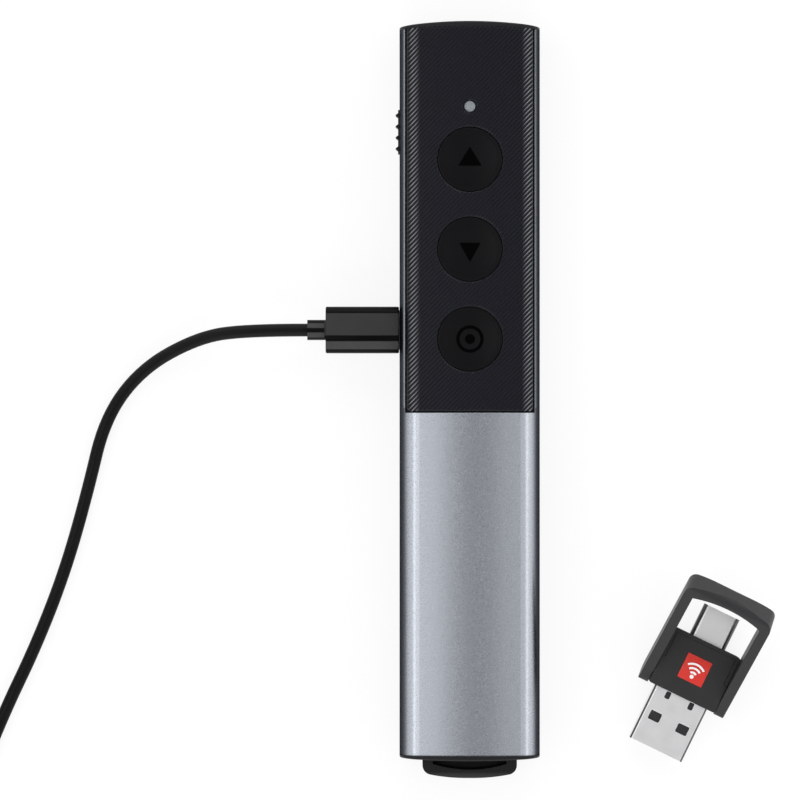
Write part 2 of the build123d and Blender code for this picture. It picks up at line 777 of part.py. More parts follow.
def make_loop():
    half = loop_outer_width / 2
    side_end = loop_reach - loop_outer_bow
    outline = Polyline((-half, side_end), (-half, -loop_end), (half, -loop_end), (half, side_end))
    outline += ThreePointArc((half, side_end), (0, loop_reach), (-half, side_end))
    face = make_face(outline)
    face = fillet(face.vertices().group_by(Axis.Y)[-1], loop_corner)
    loop = Pos(0, 0, -loop_height / 2) * extrude(face, loop_height)
    inner = loop_inner_half
    inner_end = loop_reach - loop_bar
    inner_side = inner_end - loop_inner_bow
    open_end = -loop_end - 1
    mouth = Polyline((-inner, inner_side), (-inner, open_end), (inner, open_end), (inner, inner_side))
    mouth += ThreePointArc((inner, inner_side), (0, inner_end), (-inner, inner_side))
    ledge_top = -loop_height / 2 + loop_ledge[1]
    loop -= Pos(0, 0, ledge_top) * extrude(make_face(mouth), loop_height)
    ledge_start = inner_end - loop_ledge[0]
    loop -= block((-inner, open_end, -loop_height), (inner, ledge_start, ledge_top + 0.1))
    side = Plane.YZ * Pos((loop_reach - loop_end) / 2, 0) * RectangleRounded(
        loop_reach + loop_end, loop_height, loop_edge)
    loop &= extrude(side, half + 1, both=True)
    socket = inner + pin_length
    for sign in (-1, 1):
        loop -= rod((sign * (inner - 0.5), 0, 0), (sign * socket, 0, 0), pin_diameter / 2 + pin_gap)
    return loop


def receiver_set(raised):
    # Every piece of one receiver about its loop pivot, with the loop raised from the USB-C plug
    return {
        "back_shell": make_receiver_back(),
        "front_cover": make_receiver_cover(),
        "circuit_board": make_receiver_board(),
        "usb_a_shell": usb_a_place() * make_usb_a_shell(),
        "usb_a_tongue": usb_a_place() * Rot(Y=180) * make_usb_a_tongue(),
        "usb_c_shell": usb_c_place() * make_usb_c_shell(),
        "usb_c_insert": usb_c_place() * make_usb_c_insert(),
        "loop": Rot(X=raised) * make_loop(),
    }


def grip(size, edge):
    width, length, thickness = size
    return bar(width, thickness, edge, -length, 0)


def make_far_relief():
    start = -far_grip_length
    radius = relief_diameter / 2
    relief = rod((0, start, 0), (0, start - far_relief_length, 0), radius)
    depth, width = relief_groove
    count = int(far_relief_length / (2.6 * width))
    for n in range(count):
        y = start - far_relief_length * (n + 0.6) / count
        ring = rod((0, y, 0), (0, y - width, 0), relief_diameter)
        relief -= ring - rod((0, y, 0), (0, y - width, 0), radius - depth)
    return relief


def make_near_grip():
    width, height = usb_c_shell
    hole = bar(width + 0.06, height + 0.06, height / 2, -usb_c_held - 0.05, 1)
    return plug_place * (grip(plug_grip, plug_grip_edge) - hole)


def tube(points, diameter):
    # Straight runs joined by tangent arcs, each as large as its two runs allow
    corners = [Vector(*point) for point in points]
    radii = []
    for before, corner, after in zip(corners, corners[1:], corners[2:]):
        turn = math.radians((corner - before).get_angle(after - corner))
        shorter = min((corner - before).length, (after - corner).length)
        radii.append(0.45 * shorter / math.tan(turn / 2))
    print("cable bend radii, mm:", [round(radius, 1) for radius in radii])
    path = FilletPolyline(*points, radius=radii)
    section = Plane(origin=path @ 0, z_dir=path % 0) * Circle(diameter / 2)
    solid = sweep(section, path=path)
    print("cable tube length", round(path.length, 1), "volume ratio",
          round(solid.volume / (math.pi * diameter ** 2 / 4 * path.length), 4))
    return solid


def make_coil():
    coil = Cylinder(coil_outer, coil_height, align=(Align.CENTER, Align.CENTER, Align.MIN))
    coil -= Cylinder(coil_inner, coil_height, align=(Align.CENTER, Align.CENTER, Align.MIN))
    notch = block((coil_inner - 1, -tie_width / 2 - 0.1, -1),
                  (coil_outer + 1, tie_width / 2 + 0.1, tie_thickness + 0.05))
    return Pos(*coil_centre, 0) * (coil - Rot(Z=tie_angle) * notch)


def make_tie():
    inner = block((coil_inner - tie_slack, -tie_width, tie_thickness),
                  (coil_outer + tie_slack, tie_width, coil_height + tie_slack))
    reach = tie_slack + tie_thickness
    band = block((coil_inner - reach, -tie_width / 2, 0),
                 (coil_outer + reach, tie_width / 2, coil_height + reach))
    return Pos(*coil_centre, 0) * Rot(Z=tie_angle) * (band - inner)


def make_tail():
    end_x = tail_start[0] + tail_length * tail_way[0]
    end_y = tail_start[1] + tail_length * tail_way[1]
    return rod(tail_start, (end_x, end_y, tail_height), cable_diameter / 2)


def make_far_grip():
    width, height = usb_a_shell
    hole = bar(width + 0.06, height + 0.06, 0.6, -usb_a_held - 0.05, 1)
    return far_place * (grip(far_grip, far_grip_edge) - hole)


def make_clicker():
    pieces = {
        "housing_sleeve": make_sleeve(),
        "front_panel": make_panel(),
        "top_cap": make_top_cap(),
        "laser_window": make_laser_window(),
        "bottom_cap": make_bottom_cap(),
        "receiver_bay": make_bay(),
        "bay_springs": make_bay_springs(),
        "chassis": make_chassis(),
        "main_board": make_board(),
        "board_screws": make_board_screws(),
        "tact_switches": make_tact_switches(),
        "radio_shield": make_radio_shield(),
        "board_chips": make_chips(),
        "status_led": make_status_led(),
        "led_lens": make_led_lens(),
        "slide_switch_body": make_slide_switch_body(),
        "slide_switch_knob": make_slide_switch_knob(),
        "power_slider": make_slider(),
        "usb_c_port_shell": make_port_shell(),
        "usb_c_port_tongue": make_port_tongue(),
        "laser_barrel": make_laser_barrel(),
        "laser_lens": make_laser_lens(),
        "laser_board": make_laser_board(),
        "laser_clip": make_laser_clip(),
        "battery_cell": make_battery_cell(),
        "battery_pad": make_battery_pad(),
        "battery_leads": make_battery_leads(),
    }
    for name, station in zip(("button_up", "button_down", "button_laser"), button_stations):
        pieces[name] = make_button(station)
    return pieces


def make_lead():
    return {
        "lead_usb_c_shell": plug_place * make_usb_c_shell(),
        "lead_usb_c_insert": plug_place * make_usb_c_insert(),
        "lead_usb_c_grip": make_near_grip(),
        "lead_strain_relief": plug_place * bar(relief_diameter, relief_diameter, relief_diameter / 2 - 0.01,
                                               -plug_grip_length - relief_length, -plug_grip_length),
        "charge_cable": tube([cable_start, cable_bend] + cable_route, cable_diameter),
        "cable_coil": make_coil(),
        "cable_tie": make_tie(),
        "cable_tail": make_tail(),
        "lead_usb_a_relief": far_place * make_far_relief(),
        "lead_usb_a_grip": make_far_grip(),
        "lead_usb_a_shell": far_place * make_usb_a_shell(),
        "lead_usb_a_tongue": far_place * make_usb_a_tongue(),
    }


def make_receivers():
    pieces = {}
    stowed_place = Pos(0, stow_pivot, middle_height) * Rot(Z=180)
    for name, shape in receiver_set(0).items():
        pieces["stowed_" + name] = stowed_place * shape
    lying = Pos(*loose_place, receiver_thickness / 2) * Rot(Z=loose_heading)
    for name, shape in receiver_set(loop_raised).items():
        pieces["loose_" + name] = lying * shape
    return pieces


for name, shape in {**make_clicker(), **make_lead(), **make_receivers()}.items():
    group = Compound(children=shape) if isinstance(shape, list) else shape
    export_step(group, f"parts/{name}.step")
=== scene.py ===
import math

import bmesh
import bpy
from mathutils import Matrix, Vector


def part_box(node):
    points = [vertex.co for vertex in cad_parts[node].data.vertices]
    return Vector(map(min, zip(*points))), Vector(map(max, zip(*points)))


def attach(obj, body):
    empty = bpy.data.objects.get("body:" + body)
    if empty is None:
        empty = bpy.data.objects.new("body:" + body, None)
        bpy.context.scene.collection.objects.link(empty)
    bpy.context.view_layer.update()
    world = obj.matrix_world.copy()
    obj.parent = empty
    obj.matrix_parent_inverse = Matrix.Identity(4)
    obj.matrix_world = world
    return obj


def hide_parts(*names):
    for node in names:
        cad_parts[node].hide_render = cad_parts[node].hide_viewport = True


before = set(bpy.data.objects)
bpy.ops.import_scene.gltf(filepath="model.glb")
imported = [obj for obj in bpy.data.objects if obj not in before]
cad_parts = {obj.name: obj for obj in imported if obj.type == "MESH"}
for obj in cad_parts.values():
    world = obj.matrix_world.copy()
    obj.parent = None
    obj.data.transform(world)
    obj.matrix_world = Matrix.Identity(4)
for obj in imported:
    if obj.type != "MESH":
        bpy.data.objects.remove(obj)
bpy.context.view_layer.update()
mm = 0.001
mergeWithin = 0.001     # points nearer than this, in mm, become one
scene = bpy.context.scene
scene.view_settings.view_transform = "Standard"
print("frame loaded:", len(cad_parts), "nodes")


# camera: straight above the clicker
camera = {"place": (-14.4, -1.85, 1014.4), "lens": 218.7, "sensor": 36.0, "clip": (0.01, 100)}


def makeCamera(view):
    data = bpy.data.cameras.new("camera")
    data.lens = view["lens"]
    data.sensor_width = view["sensor"]
    data.clip_start, data.clip_end = view["clip"]
    thing = bpy.data.objects.new("camera", data)
    thing.location = Vector(view["place"]) * mm
    scene.collection.objects.link(thing)
    scene.camera = thing


makeCamera(camera)


# node tools
def put(tree, kind, inputs=None, **settings):
    node = tree.nodes.new(kind)
    for key, value in settings.items():
        setattr(node, key, value)
    for key, value in (inputs or {}).items():
        if isinstance(value, bpy.types.NodeSocket):
            tree.links.new(value, node.inputs[key])
        else:
            node.inputs[key].default_value = value
    return node


def calc(tree, operation, a, b=0.0, c=0.0, clamp=False):
    node = put(tree, "ShaderNodeMath", {0: a, 1: b, 2: c}, operation=operation, use_clamp=clamp)
    return node.outputs[0]


def plus(tree, a, b, clamp=False):
    return calc(tree, "ADD", a, b, clamp=clamp)


def minus(tree, a, b):
    return calc(tree, "SUBTRACT", a, b)


def times(tree, a, b, clamp=False):
    return calc(tree, "MULTIPLY", a, b, clamp=clamp)


def ease(tree, value, low, high, start=0.0, end=1.0):
    inputs = {"Value": value, "From Min": low, "From Max": high, "To Min": start, "To Max": end}
    return put(tree, "ShaderNodeMapRange", inputs, interpolation_type="SMOOTHSTEP").outputs["Result"]


def asColour(value):
    return value if isinstance(value, bpy.types.NodeSocket) else (*value, 1)


def between(tree, share, first, second):
    inputs = {0: share, 6: asColour(first), 7: asColour(second)}
    return put(tree, "ShaderNodeMix", inputs, data_type="RGBA").outputs[2]


def scaled(tree, vector, amount):
    return put(tree, "ShaderNodeVectorMath", {0: vector, "Scale": amount}, operation="SCALE").outputs[0]


def noise(tree, where, scale, detail):
    inputs = {"Vector": where, "Scale": scale, "Detail": detail}
    return put(tree, "ShaderNodeTexNoise", inputs).outputs["Fac"]


def softEdge(tree, radius):
    return put(tree, "ShaderNodeBevel", {"Radius": radius}, samples=6).outputs[0]


def dented(tree, height, depth, edge):
    return put(tree, "ShaderNodeBump", {"Height": height, "Distance": depth, "Normal": edge}).outputs[0]


def split(tree, vector):
    return put(tree, "ShaderNodeSeparateXYZ", {0: vector}).outputs


def connect(tree, values, sockets, labels=("Base Color", "Roughness", "Normal")):
    for label, value in zip(labels, values):
        tree.links.new(value, sockets[label])


def newGroup(name, kind, inputs, outputs):
    tree = bpy.data.node_groups.new(name, kind)
    for label, socket, value in inputs:
        made = tree.interface.new_socket(label, in_out="INPUT", socket_type="NodeSocket" + socket)
        if value is not None:
            made.default_value = value
    for label, socket in outputs:
        tree.interface.new_socket(label, in_out="OUTPUT", socket_type="NodeSocket" + socket)
    source = tree.nodes.new("NodeGroupInput")
    sink = tree.nodes.new("NodeGroupOutput")
    return tree, source.outputs, sink.inputs


def useGroup(tree, group, values):
    return put(tree, "ShaderNodeGroup", values, node_tree=group).outputs


# light: a broad sky with a dark slot overhead, brighter towards both ends, and two narrow strips
studio = {
    "lowest": 0.28,
    "peak": 2.0,
    "band": (0.12, 0.34),
    "ends": 1.65,
    "endsFrom": (0.5, 0.64),
    # place along x and strength of each strip
    "strips": [(-0.6, 2.7), (0.73, 1.6)],
    "stripEdge": (0.036, 0.054),
    "stripLength": (0.6, 0.7),
    "horizon": 0.8,
    "horizonEdge": (0.02, 0.16),
    # direction along x, and how bright the sky is there
    "profile": [(-1, 0.7), (-0.95, 1.1), (-0.8, 1.3), (-0.65, 0.9), (-0.5, 1.25), (-0.35, 1.8),
                (-0.2, 1.95), (-0.1, 1.1), (-0.02, 0.03), (0.08, 0.03), (0.15, 0.9), (0.25, 1.25),
                (0.45, 1.1), (0.6, 1.0), (0.8, 1.4), (0.95, 1.3), (1, 0.9)],
}


def makeWorld(sky):
    world = bpy.data.worlds.new("studio")
    world.use_nodes = True
    scene.world = world
    tree = world.node_tree
    tree.nodes.clear()
    x, y, z = split(tree, put(tree, "ShaderNodeTexCoord").outputs["Generated"])
    ramp = put(tree, "ShaderNodeValToRGB", {0: calc(tree, "MULTIPLY_ADD", x, 0.5, 0.5)})
    stops = ramp.color_ramp.elements
    while len(stops) < len(sky["profile"]):
        stops.new(0.5)
    for stop, (at, level) in zip(stops, sky["profile"]):
        stop.position = (at + 1) / 2
    # moving a stop can reorder them, so the colours follow once all are in place
    for stop, (at, level) in zip(stops, sky["profile"]):
        grey = level / sky["peak"]
        stop.color = (grey, grey, grey, 1)
    aside = calc(tree, "ABSOLUTE", y)
    window = ease(tree, aside, *sky["band"], 1, 0)
    panels = calc(tree, "MULTIPLY_ADD", ramp.outputs[0], sky["peak"], -sky["lowest"])
    level = calc(tree, "MULTIPLY_ADD", panels, window, sky["lowest"])
    along = ease(tree, aside, *sky["stripLength"], 1, 0)
    for at, power in sky["strips"]:
        strip = ease(tree, calc(tree, "ABSOLUTE", minus(tree, x, at)), *sky["stripEdge"], power, 0)
        level = calc(tree, "MULTIPLY_ADD", strip, along, level)
    level = plus(tree, level, ease(tree, aside, *sky["endsFrom"], 0, sky["ends"]))
    level = calc(tree, "MAXIMUM", level, ease(tree, z, *sky["horizonEdge"], sky["horizon"], 0))
    back = put(tree, "ShaderNodeBackground", {"Color": (1, 1, 1, 1), "Strength": level})
    put(tree, "ShaderNodeOutputWorld", {"Surface": back.outputs[0]})


makeWorld(studio)
print("camera and light made")


# shared shader effects
finishOutputs = [("Color", "Color"), ("Roughness", "Float"), ("Normal", "Vector")]
grainLook = {"broadShare": 0.04, "fineDetail": 2.0, "broadDetail": 4.0, "rimGain": 4.0}
metalLook = {"lineDetail": 3.0, "smudgeScale": 350.0, "smudgeDetail": 4.0,
             "cornerFrom": (0.2, 0.45), "cornerTo": (0.93, 0.99)}
blastLook = {"pitDetail": 1.5, "patchShare": 0.35, "patchDetail": 2.0, "pits": 0.8, "patches": 0.2,
             "speckle": (0.43, 0.66)}


def makeMouldedGrain(look):
    inputs = [("Vector", "Vector", None), ("Color", "Color", (0.02, 0.02, 0.02, 1)),
              ("Tone Change", "Float", 0.2), ("Roughness", "Float", 0.4), ("Gloss Change", "Float", 0.1),
              ("Grain Scale", "Float", 4000.0), ("Grain Height", "Float", 0.000004),
              ("Edge Radius", "Float", 0.0002), ("Edge Wear And Highlight", "Float", 0.3)]
    tree, given, result = newGroup("mouldedGrain", "ShaderNodeTree", inputs, finishOutputs)
    fine = noise(tree, given["Vector"], given["Grain Scale"], look["fineDetail"])
    broadScale = times(tree, given["Grain Scale"], look["broadShare"])
    broad = noise(tree, given["Vector"], broadScale, look["broadDetail"])
    edge = softEdge(tree, given["Edge Radius"])
    # rims are where the softened normal turns away from the true one
    facing = put(tree, "ShaderNodeNewGeometry").outputs["Normal"]
    turned = put(tree, "ShaderNodeVectorMath", {0: edge, 1: facing}, operation="DOT_PRODUCT")
    rim = times(tree, minus(tree, 1.0, turned.outputs["Value"]), look["rimGain"], clamp=True)
    # paler rims: partly wear, partly a painted highlight along the edges
    wearAndHighlight = times(tree, times(tree, rim, broad), given["Edge Wear And Highlight"])
    tone = calc(tree, "MULTIPLY_ADD", minus(tree, broad, 0.5), given["Tone Change"], 1.0)
    colour = scaled(tree, given["Color"], plus(tree, tone, wearAndHighlight))
    spread = calc(tree, "MULTIPLY_ADD", plus(tree, fine, broad), 0.5, -0.5)
    rough = calc(tree, "MULTIPLY_ADD", spread, given["Gloss Change"], given["Roughness"], clamp=True)
    bump = dented(tree, fine, given["Grain Height"], edge)
    connect(tree, (colour, rough, bump), result, [label for label, kind in finishOutputs])
    return tree


def makeDrawnMetal(look):
    inputs = [("Vector", "Vector", None), ("Color", "Color", (0.8, 0.8, 0.8, 1)),
              ("Tone Change", "Float", 0.1), ("Roughness", "Float", 0.3), ("Gloss Change", "Float", 0.1),
              ("Line Scale", "Vector", (500.0, 500.0, 500.0)), ("Line Height", "Float", 0.000002),
              ("Edge Radius", "Float", 0.0001), ("Corner Shade", "Float", 0.0)]
    tree, given, result = newGroup("drawnMetal", "ShaderNodeTree", inputs, finishOutputs)
    stretched = put(tree, "ShaderNodeVectorMath", {0: given["Vector"], 1: given["Line Scale"]},
                    operation="MULTIPLY").outputs[0]
    lines = noise(tree, stretched, 1.0, look["lineDetail"])
    smudge = noise(tree, given["Vector"], look["smudgeScale"], look["smudgeDetail"])
    tone = calc(tree, "MULTIPLY_ADD", minus(tree, lines, 0.5), given["Tone Change"], 1.0)
    # painted shade: round corners between the flat faces are darkened, by the direction of the object's
    # normal
    level = calc(tree, "ABSOLUTE", split(tree, put(tree, "ShaderNodeTexCoord").outputs["Normal"])[2])
    corner = times(tree, ease(tree, level, *look["cornerFrom"]),
                   ease(tree, level, *look["cornerTo"], 1, 0))
    tone = times(tree, tone, minus(tree, 1.0, times(tree, corner, given["Corner Shade"])))
    colour = scaled(tree, given["Color"], tone)
    rough = calc(tree, "MULTIPLY_ADD", minus(tree, smudge, 0.5), given["Gloss Change"],
                 given["Roughness"], clamp=True)
    bump = dented(tree, lines, given["Line Height"], softEdge(tree, given["Edge Radius"]))
    connect(tree, (colour, rough, bump), result, [label for label, kind in finishOutputs])
    return tree


def makeBeadBlast(look):
    inputs = [("Vector", "Vector", None), ("Grain Scale", "Float", 5000.0)]
    outputs = [("Speckle", "Float"), ("Height", "Float")]
    tree, given, result = newGroup("beadBlast", "ShaderNodeTree", inputs, outputs)
    pits = noise(tree, given["Vector"], given["Grain Scale"], look["pitDetail"])
    patchScale = times(tree, given["Grain Scale"], look["patchShare"])
    patches = noise(tree, given["Vector"], patchScale, look["patchDetail"])
    mixed = calc(tree, "MULTIPLY_ADD", pits, look["pits"], times(tree, patches, look["patches"]))
    connect(tree, (ease(tree, mixed, *look["speckle"]), pits), result, ("Speckle", "Height"))
    return tree


mouldedGrain = makeMouldedGrain(grainLook)
drawnMetal = makeDrawnMetal(metalLook)
beadBlast = makeBeadBlast(blastLook)


def startMaterial(name, constants):
    material = bpy.data.materials.new(name)
    material.use_nodes = True
    tree = material.node_tree
    tree.nodes.clear()
    shader = put(tree, "ShaderNodeBsdfPrincipled", constants)
    put(tree, "ShaderNodeOutputMaterial", {"Surface": shader.outputs[0]})
    where = put(tree, "ShaderNodeTexCoord").outputs["Object"]
    return material, tree, shader.inputs, where


def mould(made, colour, rough, grain, height, edge, more=None):
    # gives a started material its moulded grain, with sizes in mm
    material, tree, shader, where = made
    values = {"Vector": where, "Color": asColour(colour), "Roughness": rough, "Edge Radius": edge * mm,
              "Grain Scale": 1 / (grain * mm), "Grain Height": height * mm, **(more or {})}
    connect(tree, useGroup(tree, mouldedGrain, values), shader)
    return material


# colour r, g, b, roughness, specular level, grain size and height in mm, edge radius in mm
plastics = {
    "cap_plastic": ((0.009, 0.009, 0.011), 0.42, 0.18, 0.12, 0.004, 0.1),
    "button_plastic": ((0.0020, 0.0019, 0.0026), 0.34, 0.12, 0.20, 0.001, 0.12),
    # painted light and shade: the stowed receiver's plastic is a darker, shaded copy, the loose
    # receiver's below it a paler, lit copy of the same plastic
    "receiver_plastic": ((0.0095, 0.0095, 0.0105), 0.40, 0.17, 0.16, 0.004, 0.22),
    "lit_receiver_plastic": ((0.0285, 0.0275, 0.0290), 0.42, 0.17, 0.16, 0.004, 0.22),
    "lead_moulding": ((0.004, 0.004, 0.0045), 0.34, 0.2, 0.18, 0.002, 0.18),
    "cable_sheath": ((0.0028, 0.0028, 0.0031), 0.42, 0.12, 0.22, 0.002, 0.05),
    "inner_plastic": ((0.035, 0.035, 0.038), 0.5, 0.5, 0.2, 0.005, 0.15),
    "switch_body": ((0.03, 0.03, 0.032), 0.45, 0.5, 0.2, 0.003, 0.1),
    "chip_plastic": ((0.014, 0.014, 0.016), 0.5, 0.45, 0.08, 0.004, 0.06),
    "plug_plastic": ((0.008, 0.008, 0.009), 0.42, 0.5, 0.15, 0.002, 0.08),
    "foam": ((0.03, 0.03, 0.032), 0.9, 0.2, 0.35, 0.03, 0.2),
    "wire_insulation": ((0.022, 0.006, 0.006), 0.45, 0.2, 0.2, 0.002, 0.05),
    "glyph": ((0.0003, 0.0003, 0.0004), 0.6, 0.02, 0.2, 0.001, 0.03),
    "badge_red": ((0.60, 0.032, 0.022), 0.38, 0.3, 0.2, 0.001, 0.05),
    "badge_white": ((0.85, 0.85, 0.85), 0.4, 0.5, 0.2, 0.001, 0.03),
}

# colour r, g, b, roughness, lines per mm along x, y, z, edge radius in mm, painted shade of round
# corners
metals = {
    "plug_steel": ((0.86, 0.86, 0.87), 0.34, (0.8, 6.0, 6.0), 0.1, 0.85),
    "sheet_steel": ((0.72, 0.72, 0.73), 0.34, (0.6, 5.0, 5.0), 0.12, 0.0),
    "screw_steel": ((0.55, 0.56, 0.58), 0.3, (3.0, 3.0, 3.0), 0.08, 0.0),
    "barrel_brass": ((0.78, 0.55, 0.22), 0.28, (5.0, 0.6, 5.0), 0.15, 0.0),
    "cell_foil": ((0.78, 0.79, 0.80), 0.42, (1.2, 1.2, 1.2), 0.5, 0.0),
    "contact_gold": ((0.88, 0.62, 0.24), 0.25, (3.0, 3.0, 3.0), 0.03, 0.0),
}

# colour r, g, b, roughness, share of light let through
clears = {
    "lens_plastic": ((0.20, 0.22, 0.235), 0.3, 0.0),
    "laser_glass": ((0.95, 0.9, 0.9), 0.06, 0.85),
    "led_white": ((0.86, 0.86, 0.78), 0.35, 0.0),
}
clearLook = {"bend": 1.49, "toneChange": 0.06, "glossChange": 0.08, "grain": 0.25, "height": 0.001,
             "edge": 0.12}


def makePlastic(name, look):
    colour, rough, specular, grain, height, edge = look
    made = startMaterial(name, {"Specular IOR Level": specular})
    return mould(made, colour, rough, grain, height, edge)


def makeMetal(name, look):
    colour, rough, lines, edge, shade = look
    material, tree, shader, where = startMaterial(name, {"Metallic": 1.0})
    values = {"Vector": where, "Color": (*colour, 1), "Roughness": rough, "Edge Radius": edge * mm,
              "Line Scale": tuple(count / mm for count in lines), "Corner Shade": shade}
    connect(tree, useGroup(tree, drawnMetal, values), shader)
    return material


def makeClear(name, look, shared):
    colour, rough, through = look
    made = startMaterial(name, {"Transmission Weight": through, "IOR": shared["bend"]})
    more = {"Tone Change": shared["toneChange"], "Gloss Change": shared["glossChange"], "Edge Wear And Highlight": 0.0}
    return mould(made, colour, rough, shared["grain"], shared["height"], shared["edge"], more)


finishes = {name: makePlastic(name, look) for name, look in plastics.items()}
finishes.update({name: makeMetal(name, look) for name, look in metals.items()})
finishes.update({name: makeClear(name, look, clearLook) for name, look in clears.items()})

# bead-blasted, anodised housing, with painted shade: darkened round its sides, in the walls of the
# panel's window and at both ends next to the caps
aluminium = {
    "dull": (0.362, 0.383, 0.424),
    "bright": (0.522, 0.550, 0.602),
    "tint": (0.3, 0.3, 0.32),
    # painted shade: how far and how dark the sides, the window's walls and the ends are darkened
    "sideShade": 0.18,
    "sideFrom": 12.7,
    "sideTo": 13.8,
    "slotShade": 0.04,
    "slotSide": 13.36,
    "slotEnd": -4.49,
    "slotFloor": 11.3,
    "seam": (74.85, 75.15, 0.25),
    "roughness": 0.26,
    "glossChange": 0.06,
    "grain": 0.11,
    "pitDepth": 0.0015,
    "edge": 0.12,
}


def makeAluminium(look):
    constants = {"Metallic": 1.0, "Specular Tint": (*look["tint"], 1)}
    material, tree, shader, where = startMaterial("anodised_aluminium", constants)
    blast = useGroup(tree, beadBlast, {"Vector": where, "Grain Scale": 1 / (look["grain"] * mm)})
    mixed = between(tree, blast["Speckle"], look["dull"], look["bright"])
    x, y, z = split(tree, where)
    aside = calc(tree, "ABSOLUTE", x)
    # painted shade: darker towards the sides, for the dark reflection along the rounded edges
    shade = ease(tree, aside, look["sideFrom"] * mm, look["sideTo"] * mm, 1.0, look["sideShade"])
    # painted shade: the walls of the panel's window are darkened almost to black, for the shadow in the
    # gap round the panel
    inSlot = times(tree, calc(tree, "LESS_THAN", aside, look["slotSide"] * mm),
                   calc(tree, "GREATER_THAN", y, look["slotEnd"] * mm))
    inSlot = times(tree, inSlot, calc(tree, "GREATER_THAN", z, look["slotFloor"] * mm))
    shade = times(tree, shade, ease(tree, inSlot, 0, 1, 1, look["slotShade"]))
    # painted shade: a dark line at both ends, where the housing meets the caps
    first, last, dark = look["seam"]
    shade = times(tree, shade, ease(tree, calc(tree, "ABSOLUTE", y), first * mm, last * mm, 1.0, dark))
    rough = calc(tree, "MULTIPLY_ADD", blast["Speckle"], look["glossChange"], look["roughness"])
    bump = dented(tree, blast["Height"], look["pitDepth"] * mm, softEdge(tree, look["edge"] * mm))
    connect(tree, (scaled(tree, mixed, shade), rough, bump), shader)
    return material


finishes["anodised_aluminium"] = makeAluminium(aluminium)

# ribbed panel: near its curved sides the crests of the ribs carry a painted highlight, a paler stripe
# along each crest; the rows next to the cap are darkened, a painted shade
panelLook = {
    "color": (0.0024, 0.0027, 0.0062),
    "crest": (0.185, 0.19, 0.20),
    "roughness": 0.28,
    "specular": 0.2,
    "grain": 0.15,
    "height": 0.0015,
    "pitch": 0.97,
    "middle": 35.5,
    "crestCentre": 0.2,
    "crestFrom": (10.4, 11.9),
    "crestTo": (12.1, 13.1),
    "crestWide": (0.35, 0.9),
    "crestMiddle": 0.02,
    "seam": (75.0, 75.3, 0.3),
}


def makePanelPlastic(look):
    made = startMaterial("ribbed_black_plastic", {"Specular IOR Level": look["specular"]})
    material, tree, shader, where = made
    x, y, z = split(tree, where)
    run = minus(tree, minus(tree, y, x), look["middle"] * mm)
    turn = calc(tree, "COSINE", times(tree, run, 2 * math.pi / (look["pitch"] * mm)))
    # painted highlight: a paler stripe along each rib's crest, strongest near the panel's curved sides
    crest = ease(tree, times(tree, turn, -1.0), *look["crestWide"])
    aside = calc(tree, "ABSOLUTE", minus(tree, x, look["crestCentre"] * mm))
    (a, b), (c, d) = look["crestFrom"], look["crestTo"]
    edge = times(tree, ease(tree, aside, a * mm, b * mm), ease(tree, aside, c * mm, d * mm, 1, 0))
    edge = calc(tree, "MAXIMUM", edge, look["crestMiddle"])
    colour = between(tree, times(tree, crest, edge), look["color"], look["crest"])
    # painted shade: the rows next to the cap are darkened
    first, last, shade = look["seam"]
    colour = scaled(tree, colour, ease(tree, y, first * mm, last * mm, 1.0, shade))
    return mould(made, colour, look["roughness"], look["grain"], look["height"], 0.0, {"Edge Wear And Highlight": 0.0})


finishes["ribbed_black_plastic"] = makePanelPlastic(panelLook)

# circuit boards: solder mask over a net of copper traces
board = {"mask": (0.008, 0.055, 0.022), "trace": (0.02, 0.11, 0.045), "cells": 420.0, "lines": 9.0,
         "lineHalf": 0.12, "roughness": 0.3, "grain": 0.2, "height": 0.002, "edge": 0.05}


def makeBoardMaterial(look):
    made = startMaterial("circuit_board", {})
    material, tree, shader, where = made
    cells = put(tree, "ShaderNodeTexVoronoi", {"Vector": where, "Scale": look["cells"]},
                distance="MANHATTAN", feature="F1").outputs["Distance"]
    waves = calc(tree, "FRACT", times(tree, cells, look["lines"]))
    onTrace = calc(tree, "LESS_THAN", calc(tree, "ABSOLUTE", minus(tree, waves, 0.5)), look["lineHalf"])
    mixed = between(tree, onTrace, look["mask"], look["trace"])
    return mould(made, mixed, look["roughness"], look["grain"], look["height"], look["edge"])


finishes["circuit_board"] = makeBoardMaterial(board)

# grip of the charging plug: matt grey faces; glossy black sides and channel, darkened as painted shade;
# a paler lower ledge and two paler bands along the strain relief, painted highlights
gripLook = {
    # painted shade on the sides and channel, painted highlight on the ledge
    "side": (0.0012, 0.0012, 0.0014),
    "face": (0.034, 0.034, 0.035),
    "ledge": (0.052, 0.052, 0.053),
    "specular": 0.08,
    "roughness": 0.3,
    "mattMore": 0.2,
    "middle": 12.65,
    "top": 3.45,
    "bottom": -4.0,
    "ledgeTop": -2.37,
    "channelTop": -1.15,
    "soft": 0.12,
    "reliefFrom": -30.05,
    "reliefHighlights": ((-1.55, -0.55), (0.4, 1.4)),
    "grain": 0.15,
    "height": 0.003,
    "edge": 0.1,
}


